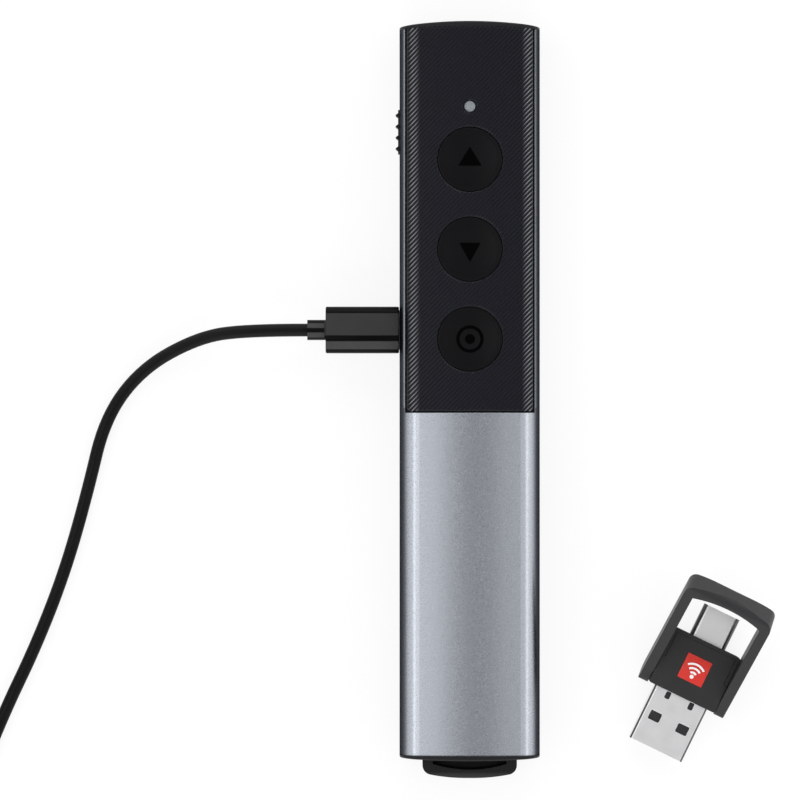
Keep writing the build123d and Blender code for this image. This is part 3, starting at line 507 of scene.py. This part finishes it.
def makeGripMaterial(look):
    made = startMaterial("plug_grip", {"Specular IOR Level": look["specular"]})
    material, tree, shader, where = made
    x, y, z = split(tree, where)
    across = minus(tree, y, look["middle"] * mm)
    soft = look["soft"] * mm

    def past(limit):
        return ease(tree, across, limit * mm - soft, limit * mm + soft)

    def band(low, high):
        return minus(tree, past(low), past(high))

    # painted highlight: the lower ledge is paler than the face; the rest stays black, painted shade
    face = band(look["channelTop"], look["top"])
    ledge = band(look["bottom"], look["ledgeTop"])
    colour = between(tree, ledge, between(tree, face, look["side"], look["face"]), look["ledge"])
    # painted highlight: two paler bands along the strain relief
    highlightBands = plus(tree, *(band(low, high) for low, high in look["reliefHighlights"]))
    onRelief = calc(tree, "LESS_THAN", x, look["reliefFrom"] * mm)
    colour = between(tree, onRelief, colour, between(tree, highlightBands, look["side"], look["ledge"]))
    rough = calc(tree, "MULTIPLY_ADD", plus(tree, face, ledge), look["mattMore"], look["roughness"])
    return mould(made, colour, rough, look["grain"], look["height"], look["edge"], {"Edge Wear And Highlight": 0.0})


finishes["plug_grip"] = makeGripMaterial(gripLook)

# nodes whose finish isn't their slot's; the loose receiver gets a paler copy of the receiver plastic,
# painted light against the darker, shaded copy on the stowed one
ownFinishes = {"loose_back_shell": "lit_receiver_plastic", "loose_front_cover": "lit_receiver_plastic",
               "loose_loop": "lit_receiver_plastic", "lead_strain_relief": "plug_grip"}

for nodeName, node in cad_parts.items():
    for place in node.material_slots:
        slotName = place.material.name.split(".")[0]
        place.material = finishes[ownFinishes.get(nodeName, slotName)]
print("materials made:", len(finishes))


# floor
floor = {"half": 30.0, "drop": 0.00002, "white": 0.965, "cloud": 0.01, "cloudScale": 2.0,
         "cloudDetail": 2.0, "plain": 0.85}


def makeFloor(look):
    mesh = bpy.data.meshes.new("floor")
    half = look["half"]
    corners = [(-half, -half), (half, -half), (half, half), (-half, half)]
    mesh.from_pydata([(x, y, -look["drop"]) for x, y in corners], [], [(0, 1, 2, 3)])
    thing = bpy.data.objects.new("floor", mesh)
    scene.collection.objects.link(thing)
    constants = {"Roughness": 1.0, "Specular IOR Level": 0.0}
    material, tree, shader, where = startMaterial("floor", constants)
    cloudy = noise(tree, where, look["cloudScale"], look["cloudDetail"])
    connect(tree, [calc(tree, "MULTIPLY_ADD", cloudy, look["cloud"], look["white"])], shader)
    # part of the floor is a plain white for the eye and for reflections, the rest keeps the shadow
    rays = put(tree, "ShaderNodeLightPath").outputs
    seen = plus(tree, rays["Is Camera Ray"], rays["Is Glossy Ray"])
    seen = plus(tree, seen, rays["Is Transmission Ray"], clamp=True)
    white = put(tree, "ShaderNodeEmission", {"Color": (1, 1, 1, 1), "Strength": 1.0}).outputs[0]
    output = tree.nodes["Material Output"].inputs[0]
    share = times(tree, seen, look["plain"])
    mixed = put(tree, "ShaderNodeMixShader", {0: share, 1: output.links[0].from_socket, 2: white})
    tree.links.new(mixed.outputs[0], output)
    mesh.materials.append(material)


makeFloor(floor)


# piece tools
def finishPiece(name, mesh, body, finish, replaced=(), sharp=30):
    mesh.name = name
    mesh.shade_smooth()
    mesh.set_sharp_from_angle(angle=math.radians(sharp))
    mesh.materials.clear()
    mesh.materials.append(finishes[finish])
    piece = bpy.data.objects.new(name, mesh)
    scene.collection.objects.link(piece)
    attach(piece, body)
    if replaced:
        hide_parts(*replaced)
    return piece


def toMesh(build, place=None):
    # a closed bmesh in mm becomes a mesh in metres, faces outwards
    bmesh.ops.remove_doubles(build, verts=build.verts, dist=mergeWithin)
    bmesh.ops.recalc_face_normals(build, faces=build.faces)
    bmesh.ops.scale(build, vec=(mm, mm, mm), verts=build.verts)
    mesh = bpy.data.meshes.new("piece")
    build.to_mesh(mesh)
    build.free()
    if place is not None:
        mesh.transform(place)
    return mesh


def lathe(build, profile, centre, steps):
    # profile of (radius, height) round a vertical axis, in mm
    rings = []
    for radius, height in profile:
        count = steps if radius > 0 else 1
        ring = [build.verts.new((centre[0] + radius * math.cos(2 * math.pi * n / count),
                                 centre[1] + radius * math.sin(2 * math.pi * n / count), height))
                for n in range(count)]
        rings.append(ring)
    for lower, upper in zip(rings, rings[1:]):
        if len(lower) == 1 and len(upper) == 1:
            continue
        for n in range(steps):
            m = (n + 1) % steps
            corners = [lower[n % len(lower)], lower[m % len(lower)],
                       upper[m % len(upper)], upper[n % len(upper)]]
            corners = [v for k, v in enumerate(corners) if v is not corners[k - 1]]
            build.faces.new(corners)


def loft(build, sections):
    # closed outlines of equal point counts, capped at both ends
    rings = [[build.verts.new(point) for point in section] for section in sections]
    for lower, upper in zip(rings, rings[1:]):
        for n in range(len(lower)):
            m = (n + 1) % len(lower)
            build.faces.new([lower[n], lower[m], upper[m], upper[n]])
    for ring in (rings[0], rings[-1]):
        build.faces.new(ring)


def arc(centre, radius, start, end, steps):
    angles = [math.radians(start + (end - start) * n / steps) for n in range(steps + 1)]
    return [(centre[0] + radius * math.cos(a), centre[1] + radius * math.sin(a)) for a in angles]


def roundedSquare(side, radius, steps):
    reach = side / 2 - radius
    points = []
    for turn, (u, v) in enumerate(((reach, reach), (-reach, reach), (-reach, -reach), (reach, -reach))):
        points += arc((u, v), radius, 90 * turn, 90 * turn + 90, steps)
    return points


def mergedCopy(name):
    # a CAD node's triangles joined into one closed mesh
    build = bmesh.new()
    build.from_mesh(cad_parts[name].data)
    bmesh.ops.remove_doubles(build, verts=build.verts, dist=mergeWithin * mm)
    mesh = bpy.data.meshes.new(name + "_copy")
    build.to_mesh(mesh)
    build.free()
    return mesh


def applyTree(name, mesh, tree, values):
    # a mesh run through a geometry tree, as a plain mesh
    thing = bpy.data.objects.new(name, mesh)
    scene.collection.objects.link(thing)
    modifier = thing.modifiers.new("tree", "NODES")
    modifier.node_group = tree
    for item in tree.interface.items_tree:
        if item.in_out == "INPUT" and item.name in values:
            modifier[item.identifier] = values[item.name]
    graph = bpy.context.evaluated_depsgraph_get()
    graph.update()
    made = bpy.data.meshes.new_from_object(thing.evaluated_get(graph), depsgraph=graph)
    thing.modifiers.remove(modifier)
    bpy.data.objects.remove(thing)
    return made


def placed(point, degrees):
    return Matrix.Translation(point) @ Matrix.Rotation(math.radians(degrees), 4, "Z")


def endTree(tree, mesh, given, result):
    real = put(tree, "GeometryNodeRealizeInstances", {0: mesh}).outputs[0]
    done = put(tree, "GeometryNodeSetMaterial", {"Geometry": real, "Material": given["Material"]})
    tree.links.new(done.outputs[0], result["Geometry"])
    return tree


# moulded grip of the USB-C plug: one shallow channel along each face
plugGrip = {"channel": (-2.12, -1.15), "channelDepth": 0.4, "edge": 1.6, "edgeSteps": 8, "corner": 0.12,
            "endSoft": 0.3, "endSteps": 4, "sharp": 35}


def gripSection(width, height, look, inset):
    # outline across the grip, y then z
    soft, steps, corner = look["edge"], look["edgeSteps"], look["corner"]
    low, high = look["channel"]
    y, z, flat = width / 2 - soft, height / 2 - soft, height / 2
    deep = flat - look["channelDepth"]
    channel = [(high + corner, flat), (high, flat - corner), (high, deep + corner),
               (high - corner, deep), (low + corner, deep), (low, deep + corner),
               (low, flat - corner), (low - corner, flat)]
    points = arc((y, z), soft, 0, 90, steps) + channel + arc((-y, z), soft, 90, 180, steps)
    points += arc((-y, -z), soft, 180, 270, steps) + [(u, -v) for u, v in reversed(channel)]
    points += arc((y, -z), soft, 270, 360, steps)
    shrinkY, shrinkZ = 1 - 2 * inset / width, 1 - 2 * inset / height
    return [(u * shrinkY, v * shrinkZ) for u, v in points]


def makePlugGrip(look):
    low, high = (Vector(corner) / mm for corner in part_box("lead_usb_c_grip"))
    middle = (low + high) / 2
    soft = look["endSoft"]
    stations = []
    for n in range(look["endSteps"] + 1):
        angle = math.radians(90 * n / look["endSteps"])
        stations.append((low.x + soft * (1 - math.sin(angle)), soft * (1 - math.cos(angle))))
    stations = sorted(stations)
    stations += [(high.x + low.x - x, inset) for x, inset in reversed(stations)]
    sections = []
    for x, inset in stations:
        outline = gripSection(high.y - low.y, high.z - low.z, look, inset)
        sections.append([(x, middle.y + u, middle.z + v) for u, v in outline])
    build = bmesh.new()
    loft(build, sections)
    return finishPiece("plug_grip", toMesh(build), "charge_lead", "plug_grip",
                       ["lead_usb_c_grip"], sharp=look["sharp"])


leadPieces = [makePlugGrip(plugGrip)]

# one receiver lies loose on the table, one is pushed into the clicker: place in mm, turn in degrees
spots = {"loose": ((45.3, -60.8, 3.25), -26), "stowed": ((0, -56.1, 7.2), 180)}
places = {name: placed(Vector(spot) * mm, turn) for name, (spot, turn) in spots.items()}
receiverBodies = {"loose": "loose_receiver", "stowed": "stowed_receiver"}

# gold contacts of the plugs, in rows; each plug's own frame has its tip towards +Y
contacts = {
    "usbA": {"count": 4, "pitch": 2.3, "width": 1.1, "length": 6.6, "thickness": 0.08, "corner": 0.3,
             "middle": 7.9, "levels": [-0.05]},
    "usbC": {"count": 12, "pitch": 0.5, "width": 0.26, "length": 4.2, "thickness": 0.07, "corner": 0.06,
             "middle": 4.0, "levels": [0.37, -0.44]},
    "receiverUsbA": (0, -3.0, 0),
    "receiverUsbC": (0, 9.6, 0),
    "farPlug": (-123.782, -40.289, 3.95),
    "farTurn": -20.0,
    "nearPlug": (12.65, 7.2),
    "cornerSteps": 4,
}


def makeContactTree(look):
    inputs = [("Geometry", "Geometry", None), ("Count", "Int", 4), ("Pitch", "Float", 2.0),
              ("Width", "Float", 1.0), ("Length", "Float", 6.0), ("Thickness", "Float", 0.1),
              ("Corner", "Float", 0.2), ("Material", "Material", None)]
    tree, given, result = newGroup("contactRow", "GeometryNodeTree", inputs, [("Geometry", "Geometry")])
    outline = put(tree, "GeometryNodeCurvePrimitiveQuadrilateral",
                  {0: given["Width"], 1: given["Length"]})
    rounded = put(tree, "GeometryNodeFilletCurve",
                  {0: outline.outputs[0], 1: look["cornerSteps"], 2: given["Corner"]}, mode="POLY")
    sheet = put(tree, "GeometryNodeFillCurve", {0: rounded.outputs[0]}, mode="NGONS").outputs[0]
    rise = put(tree, "ShaderNodeCombineXYZ", {2: 1.0}).outputs[0]
    plate = put(tree, "GeometryNodeExtrudeMesh",
                {0: sheet, "Offset": rise, "Offset Scale": given["Thickness"], "Individual": False})
    joined = put(tree, "GeometryNodeJoinGeometry")
    tree.links.new(plate.outputs["Mesh"], joined.inputs[0])
    tree.links.new(sheet, joined.inputs[0])
    strip = put(tree, "GeometryNodeMergeByDistance", {0: joined.outputs[0], "Distance": mergeWithin})
    first = times(tree, minus(tree, given["Count"], 1.0), times(tree, given["Pitch"], -0.5))
    start = put(tree, "ShaderNodeCombineXYZ", {0: first}).outputs[0]
    step = put(tree, "ShaderNodeCombineXYZ", {0: given["Pitch"]}).outputs[0]
    line = put(tree, "GeometryNodeMeshLine",
               {"Count": given["Count"], "Start Location": start, "Offset": step})
    rows = put(tree, "GeometryNodeInstanceOnPoints",
               {"Points": line.outputs[0], "Instance": strip.outputs[0]})
    return endTree(tree, rows.outputs[0], given, result)


def makeContacts(look):
    tree = makeContactTree(look)
    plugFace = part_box("lead_usb_c_grip")[1][0] / mm
    rows = {"lead": [("usbA", placed(look["farPlug"], look["farTurn"])),
                     ("usbC", placed((plugFace, *look["nearPlug"]), -90))]}
    upsideDown = Matrix.Rotation(math.pi, 4, "Y")
    for which, place in places.items():
        place = Matrix.Scale(1 / mm, 4) @ place @ Matrix.Scale(mm, 4)
        rows[which] = [("usbA", place @ placed(look["receiverUsbA"], 180) @ upsideDown),
                       ("usbC", place @ Matrix.Translation(look["receiverUsbC"]))]
    bodies = {"lead": "charge_lead", **receiverBodies}
    made = {}
    for which, plugs in rows.items():
        build = bmesh.new()
        for kind, place in plugs:
            row = look[kind]
            sizes = ("count", "pitch", "width", "length", "thickness", "corner")
            values = {label.capitalize(): row[label] for label in sizes}
            values["Material"] = finishes["contact_gold"]
            for level in row["levels"]:
                strips = applyTree("contactRow", bpy.data.meshes.new("contactRow"), tree, values)
                strips.transform(place @ Matrix.Translation((0, row["middle"], level)))
                build.from_mesh(strips)
        made[which] = finishPiece(which + "_contacts", toMesh(build), bodies[which], "contact_gold")
    return made


leadPieces.append(makeContacts(contacts)["lead"])
print("plug grip and contacts made")

# charging cable: out of the plug, down to the table, away to a tied coil, and out to the far plug
cable = {
    "diameter": 2.6,
    "radius": 1.34,     # a little over half of it, for the flats of the round
    "leadOut": [(-33.6, 12.65, 7.2), (-46.5, 12.65, 7.2)],
    "route": [(-56.5, 11.1, 3.9), (-68.2, 4.7, 1.8), (-75.9, -5.6, 1.32), (-79.5, -20.9, 1.32),
              (-84.1, -37.2, 1.32), (-90.1, -52.7, 1.32), (-96.8, -66.7, 1.32), (-102.4, -80.5, 1.32)],
    "coilCentre": (-123.0, -85.8),
    "coilFrom": -20.0,
    "pointsPerTurn": 16,
    # degrees wound, radius and height of the turn there
    "turns": [(0, 17.6, 1.32), (270, 17.6, 1.32), (360, 15.0, 1.32), (630, 15.0, 1.32),
              (720, 12.4, 1.32), (900, 12.4, 1.32), (990, 12.4, 4.15), (1080, 13.7, 4.25),
              (1110, 13.7, 3.95), (1260, 13.7, 3.95), (1305, 15.0, 4.35), (1350, 16.3, 4.2),
              (1395, 16.3, 4.35), (1440, 16.3, 3.95), (1620, 16.3, 3.95)],
    "outsideOfLine": 0.981,     # the line runs inside its own points by this much
    # the tie lifts the lowest turns where it passes under them
    "tieAt": 250.0,
    "tieRise": 0.4,
    "tieReach": 40.0,
    "lowTurns": 2.0,
    "tailRuns": (3.0, 9.0, 14.5),
    "tailWay": (0.342, 0.94),
    "length": 580.0,
    "stepsPerPoint": 8,
    "roundness": 5,
    "replaces": ("charge_cable", "cable_coil", "cable_tail"),
    "onIt": ("lead_usb_c_shell", "lead_usb_c_insert", "lead_strain_relief", "cable_tie",
             "lead_usb_a_relief", "lead_usb_a_grip", "lead_usb_a_shell", "lead_usb_a_tongue"),
}


def eased(share):
    return share * share * (3 - 2 * share)


def coilPoints(look):
    points = []
    keys = look["turns"]
    step = 360 / look["pointsPerTurn"]
    for n in range(int(keys[-1][0] / step) + 1):
        wound = n * step
        for (a, radiusA, heightA), (b, radiusB, heightB) in zip(keys, keys[1:]):
            if a <= wound <= b:
                share = eased((wound - a) / (b - a))
                radius = radiusA + (radiusB - radiusA) * share
                height = heightA + (heightB - heightA) * share
        angle = look["coilFrom"] - wound
        fromTie = abs((angle - look["tieAt"] + 180) % 360 - 180)
        if height < look["lowTurns"] and fromTie < look["tieReach"]:
            height += look["tieRise"] * eased(1 - fromTie / look["tieReach"])
        reach = radius / look["outsideOfLine"]
        points.append((look["coilCentre"][0] + reach * math.cos(math.radians(angle)),
                       look["coilCentre"][1] + reach * math.sin(math.radians(angle)), height))
    return points


def makeCable(look):
    turns = coilPoints(look)
    (lastX, lastY, lastZ), (wayX, wayY) = turns[-1], look["tailWay"]
    tail = [(lastX + wayX * run, lastY + wayY * run, lastZ) for run in look["tailRuns"]]
    points = look["leadOut"] + look["route"] + turns + tail
    curve = bpy.data.curves.new("chargeCable", "CURVE")
    curve.dimensions = "3D"
    spline = curve.splines.new("NURBS")
    spline.points.add(len(points) - 1)
    for place, point in zip(spline.points, points):
        place.co = (*(Vector(point) * mm), 1)
    spline.order_u = 3
    spline.use_endpoint_u = True
    spline.resolution_u = look["stepsPerPoint"]
    curve.bevel_depth = look["radius"] * mm
    curve.bevel_resolution = look["roundness"]
    curve.use_fill_caps = True
    curve.materials.append(finishes["cable_sheath"])
    piece = bpy.data.objects.new("chargeCable", curve)
    scene.collection.objects.link(piece)
    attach(piece, "charge_lead")
    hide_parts(*look["replaces"])


makeCable(cable)
print("cable laid")


# front panel: fine slanting ribs pressed into the moulded blank
panel = {
    "pitch": 0.97,
    "rowsPerRib": 8,
    "ribs": 112,
    "depth": 0.065,
    "below": 0.01,
    "halfWidth": 13.6,
    "columns": 54,
    "middle": 35.5,
    "crownRadius": 105.625,
    "crownTop": 14.4,
    "cornerFrom": 10.445,
    "cornerAxis": (10.0, 9.41),
    "cornerRadius": 4.5,
    "floor": 9.0,
    "near": 0.06,
    "lift": 0.5,
    "sharp": 38,
}


def ribInputs(look):
    axisX, axisZ = look["cornerAxis"]
    return [("Geometry", "Geometry", None), ("Rib Pitch", "Float", look["pitch"]),
            ("Rib Depth", "Float", look["depth"]), ("Below", "Float", look["below"]),
            ("Length", "Float", look["pitch"] * look["ribs"]),
            ("Rows", "Int", look["ribs"] * look["rowsPerRib"] + 1), ("Columns", "Int", look["columns"]),
            ("Half Width", "Float", look["halfWidth"]), ("Middle", "Float", look["middle"]),
            ("Crown Radius", "Float", look["crownRadius"]), ("Crown Top", "Float", look["crownTop"]),
            ("Corner From", "Float", look["cornerFrom"]), ("Corner Axis X", "Float", axisX),
            ("Corner Axis Z", "Float", axisZ), ("Corner Radius", "Float", look["cornerRadius"]),
            ("Floor", "Float", look["floor"]),
            ("Material", "Material", finishes["ribbed_black_plastic"])]


def makeRibTree(inputs):
    tree, given, result = newGroup("ribbedPanel", "GeometryNodeTree", inputs, [("Geometry", "Geometry")])

    def roundHeight(radius, offset):
        squares = (calc(tree, "POWER", value, 2.0) for value in (radius, offset))
        return calc(tree, "SQRT", minus(tree, *squares))

    size = put(tree, "ShaderNodeCombineXYZ",
               {0: times(tree, given["Half Width"], 2.0), 1: given["Length"], 2: 2.0}).outputs[0]
    grid = {"Size": size, "Vertices X": given["Columns"], "Vertices Y": given["Rows"], "Vertices Z": 2}
    slab = put(tree, "GeometryNodeMeshCube", grid).outputs["Mesh"]
    x, y, z = split(tree, put(tree, "GeometryNodeInputPosition").outputs[0])
    across = calc(tree, "ABSOLUTE", x)
    crown = minus(tree, roundHeight(given["Crown Radius"], across), given["Crown Radius"])
    crown = plus(tree, crown, given["Crown Top"])
    offAxis = minus(tree, across, given["Corner Axis X"])
    corner = plus(tree, roundHeight(given["Corner Radius"], offAxis), given["Corner Axis Z"])
    past = calc(tree, "GREATER_THAN", across, given["Corner From"])
    face = calc(tree, "MULTIPLY_ADD", minus(tree, corner, crown), past, crown)
    phase = times(tree, calc(tree, "DIVIDE", y, given["Rib Pitch"]), 2 * math.pi)
    valley = calc(tree, "MULTIPLY_ADD", calc(tree, "COSINE", phase), 0.5, 0.5)
    top = minus(tree, face, calc(tree, "MULTIPLY_ADD", valley, given["Rib Depth"], given["Below"]))
    isTop = calc(tree, "GREATER_THAN", z, 0.0)
    height = calc(tree, "MULTIPLY_ADD", minus(tree, top, given["Floor"]), isTop, given["Floor"])
    slanted = plus(tree, plus(tree, y, given["Middle"]), x)
    moved = put(tree, "ShaderNodeCombineXYZ", {0: x, 1: slanted, 2: height}).outputs[0]
    slab = put(tree, "GeometryNodeSetPosition", {"Geometry": slab, "Position": moved}).outputs[0]
    cut = put(tree, "GeometryNodeMeshBoolean", operation="INTERSECT", solver="MANIFOLD")
    tree.links.new(given["Geometry"], cut.inputs["Mesh 2"])
    tree.links.new(slab, cut.inputs["Mesh 2"])
    return endTree(tree, cut.outputs["Mesh"], given, result)


def faceHeight(x, look):
    across = abs(x)
    if across < look["cornerFrom"]:
        return look["crownTop"] - look["crownRadius"] + math.sqrt(look["crownRadius"] ** 2 - across ** 2)
    axis, height = look["cornerAxis"]
    return height + math.sqrt(look["cornerRadius"] ** 2 - (across - axis) ** 2)


def makePanel(look):
    blank = mergedCopy("front_panel")
    blank.transform(Matrix.Scale(1 / mm, 4))
    # the blank's top is lifted, so that only the ribbed face cuts it
    for vert in blank.vertices:
        if abs(vert.co.z - faceHeight(vert.co.x, look)) < look["near"]:
            vert.co.z += look["lift"]
    inputs = ribInputs(look)
    values = {label: value for label, kind, value in inputs if value is not None}
    ribbed = applyTree("panelBlank", blank, makeRibTree(inputs), values)
    ribbed.transform(Matrix.Scale(mm, 4))
    print("panel faces:", len(ribbed.polygons))
    finishPiece("ribbed_panel", ribbed, "clicker", "ribbed_black_plastic",
                ["front_panel"], sharp=look["sharp"])


makePanel(panel)
print("panel ribbed")


# buttons: dished caps with raised glyphs
button = {
    "radius": 6.625,
    "rim": 0.6,
    "rimRound": 0.22,
    "rimSteps": 6,
    # the rim's inner lip: its width, its drop, and how far in it meets the dish
    "lip": (0.12, 0.03, 0.14),
    "dish": 0.35,
    "dishSteps": 16,
    "flange": 0.7,
    "flangeThickness": 0.8,
    "stem": 1.7,
    "top": 14.25,
    "seat": 11.5,
    "steps": 128,
    "sharp": 50,
    "stations": {"up": 47.7, "down": 29.2, "laser": 10.7},
}
# arrows have a width and a height, the ring an outer and an inner radius
glyph = {"proud": 0.025, "sunk": 0.15, "up": (4.86, 3.95), "down": (4.46, 3.99), "cornerRound": 0.3,
         "cuts": 5, "ring": (2.82, 2.15), "ringSteps": 72, "dot": 1.03, "dotSteps": 48, "rings": 4}


def dishHeight(radius, look):
    half = look["radius"] - look["rim"]
    ball = (half ** 2 + look["dish"] ** 2) / (2 * look["dish"])
    return look["top"] - look["dish"] + ball - math.sqrt(ball ** 2 - min(radius, half) ** 2)


def buttonProfile(look, foot):
    radius, seat, top, soft = look["radius"], look["seat"], look["top"], look["rimRound"]
    half = radius - look["rim"]
    wide, flangeTop = radius + look["flange"], seat + look["flangeThickness"]
    lip, drop, meet = look["lip"]
    steps = look["dishSteps"]
    profile = [(0, foot), (look["stem"], foot), (look["stem"], seat), (wide, seat), (wide, flangeTop),
               (radius, flangeTop)]
    profile += arc((radius - soft, top - soft), soft, 0, 90, look["rimSteps"])
    profile += [(half + lip, top), (half, top - drop), (half - meet, dishHeight(half - meet, look))]
    profile += [(half * n / steps, dishHeight(half * n / steps, look)) for n in range(steps - 1, -1, -1)]
    return profile


def roundedTriangle(width, height, soft, sign):
    # centred on its centroid, and pointing along the sign
    corners = [Vector((0, sign * height * 2 / 3)), Vector((-width / 2, -sign * height / 3)),
               Vector((width / 2, -sign * height / 3))]
    points = []
    for n, corner in enumerate(corners):
        before = (corners[n - 1] - corner).normalized() * soft
        after = (corners[(n + 1) % 3] - corner).normalized() * soft
        for share in (0, 0.25, 0.5, 0.75, 1):
            points.append(corner + before * (1 - share) ** 2 + after * share ** 2)
    return points


def finishGlyph(name, build):
    finishPiece("glyph_" + name, toMesh(build), name + "_button", "glyph")


def makeGlyphArrow(name, sign, look, mark):
    # an outline laid on the dish, lifted a hair and closed underneath
    outline = roundedTriangle(*mark[name], mark["cornerRound"], sign)
    build = bmesh.new()
    build.faces.new([build.verts.new((x, y, 0)) for x, y in outline])
    bmesh.ops.triangulate(build, faces=build.faces)
    bmesh.ops.subdivide_edges(build, edges=build.edges, cuts=mark["cuts"], use_grid_fill=True)
    for vert in build.verts:
        vert.co.z = dishHeight(vert.co.xy.length, look) + mark["proud"]
    below = bmesh.ops.extrude_face_region(build, geom=build.faces[:])
    for item in below["geom"]:
        if isinstance(item, bmesh.types.BMVert):
            item.co.z -= mark["proud"] + mark["sunk"]
    bmesh.ops.translate(build, verts=build.verts, vec=(0, look["stations"][name], 0))
    finishGlyph(name, build)


def makeGlyphTarget(name, look, mark):
    # a ring round a dot
    outer, inner = mark["ring"]
    dot, rings = mark["dot"], mark["rings"]
    centre = (0, look["stations"][name])
    build = bmesh.new()

    def onDish(radius):
        return radius, dishHeight(radius, look) + mark["proud"]

    def inDish(radius):
        return radius, dishHeight(radius, look) - mark["sunk"]

    profile = [inDish(inner)] + [onDish(inner + (outer - inner) * n / rings) for n in range(rings + 1)]
    lathe(build, profile + [inDish(outer), inDish(inner)], centre, mark["ringSteps"])
    foot = inDish(0)[1]
    profile = [(0, foot), (dot, foot)] + [onDish(dot * n / rings) for n in range(rings, -1, -1)]
    lathe(build, profile, centre, mark["dotSteps"])
    finishGlyph(name, build)


def makeButtons(look, mark):
    for name, station in look["stations"].items():
        node = "button_" + name
        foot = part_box(node)[0].z / mm
        build = bmesh.new()
        lathe(build, buttonProfile(look, foot), (0, station), look["steps"])
        finishPiece(node + "_cap", toMesh(build), name + "_button", "button_plastic",
                    [node], sharp=look["sharp"])
    makeGlyphArrow("up", 1, look, mark)
    makeGlyphArrow("down", -1, look, mark)
    makeGlyphTarget("laser", look, mark)


makeButtons(button, glyph)

# status light: a domed lens with a soft rim
lens = {"radius": 1.2, "station": 58.6, "top": 14.3, "dome": 0.12, "domeSteps": 5, "soft": 0.3,
        "softSteps": 6, "softTo": 80, "flange": 0.7, "seat": 11.5, "flangeThickness": 0.6, "pipe": 1.0,
        "steps": 64, "sharp": 50}


def makeLens(look):
    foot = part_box("led_lens")[0].z / mm
    radius, seat, top, soft, pipe = (look[key] for key in ("radius", "seat", "top", "soft", "pipe"))
    low, wide, rim = seat - look["flangeThickness"], radius + look["flange"], top - look["dome"]
    profile = [(0, foot), (pipe, foot), (pipe, low), (wide, low), (wide, seat), (radius, seat)]
    profile += arc((radius - soft, rim - soft), soft, 0, look["softTo"], look["softSteps"])
    flat, flatHeight = profile[-1]
    for n in range(1, look["domeSteps"] + 1):
        out = 1 - n / look["domeSteps"]
        profile.append((flat * out, top - (top - flatHeight) * out ** 2))
    build = bmesh.new()
    lathe(build, profile, (0, look["station"]), look["steps"])
    finishPiece("status_lens", toMesh(build), "clicker", "lens_plastic", ["led_lens"],
                sharp=look["sharp"])


makeLens(lens)
print("buttons and lens made")

# receivers: badge with a wireless mark
receiver = {
    "thickness": 6.5,
    "badgeMiddle": 3.3,
    "badge": 5.5,
    "badgeCorner": 0.16,
    "cornerSteps": 8,
    "badgeProud": 0.1,
    "badgeSunk": 0.3,
    "badgeSoft": 0.06,
    "markProud": 0.06,
    "markFoot": -1.55,
    "stroke": 0.42,
    "arcs": (0.9, 1.8, 2.7),
    "arcSteps": 16,
    "dotSteps": 32,
    "halfAngle": 42.0,
}


def makeBadge(look, which):
    def finish(build, name, colour):
        bmesh.ops.translate(build, verts=build.verts, vec=(0, look["badgeMiddle"], 0))
        finishPiece(which + name, toMesh(build, places[which]), receiverBodies[which], colour)

    face = look["thickness"] / 2
    top, soft = face + look["badgeProud"], look["badgeSoft"]
    # height and inset of each section; the upper rim is rounded off
    sections = [(face - look["badgeSunk"], 0), (top - soft, 0), (top - soft * 0.3, soft * 0.3),
                (top, soft)]
    outline = roundedSquare(look["badge"], look["badgeCorner"], look["cornerSteps"])
    half = look["badge"] / 2
    build = bmesh.new()
    loft(build, [[(u * (1 - inset / half), v * (1 - inset / half), z) for u, v in outline]
                 for z, inset in sections])
    finish(build, "_badge", "badge_red")

    heights = (face, top + look["markProud"])
    foot, stroke, steps = (0, look["markFoot"]), look["stroke"], look["arcSteps"]
    start, end = 90 - look["halfAngle"], 90 + look["halfAngle"]
    build = bmesh.new()
    dot = [(0, heights[0]), (stroke, heights[0]), (stroke, heights[1]), (0, heights[1])]
    lathe(build, dot, foot, look["dotSteps"])
    for radius in look["arcs"]:
        bow = arc(foot, radius + stroke / 2, start, end, steps)
        bow += arc(foot, radius - stroke / 2, end, start, steps)
        loft(build, [[(u, v, z) for u, v in bow] for z in heights])
    finish(build, "_mark", "badge_white")


for which in places:
    makeBadge(receiver, which)
print("receivers badged")
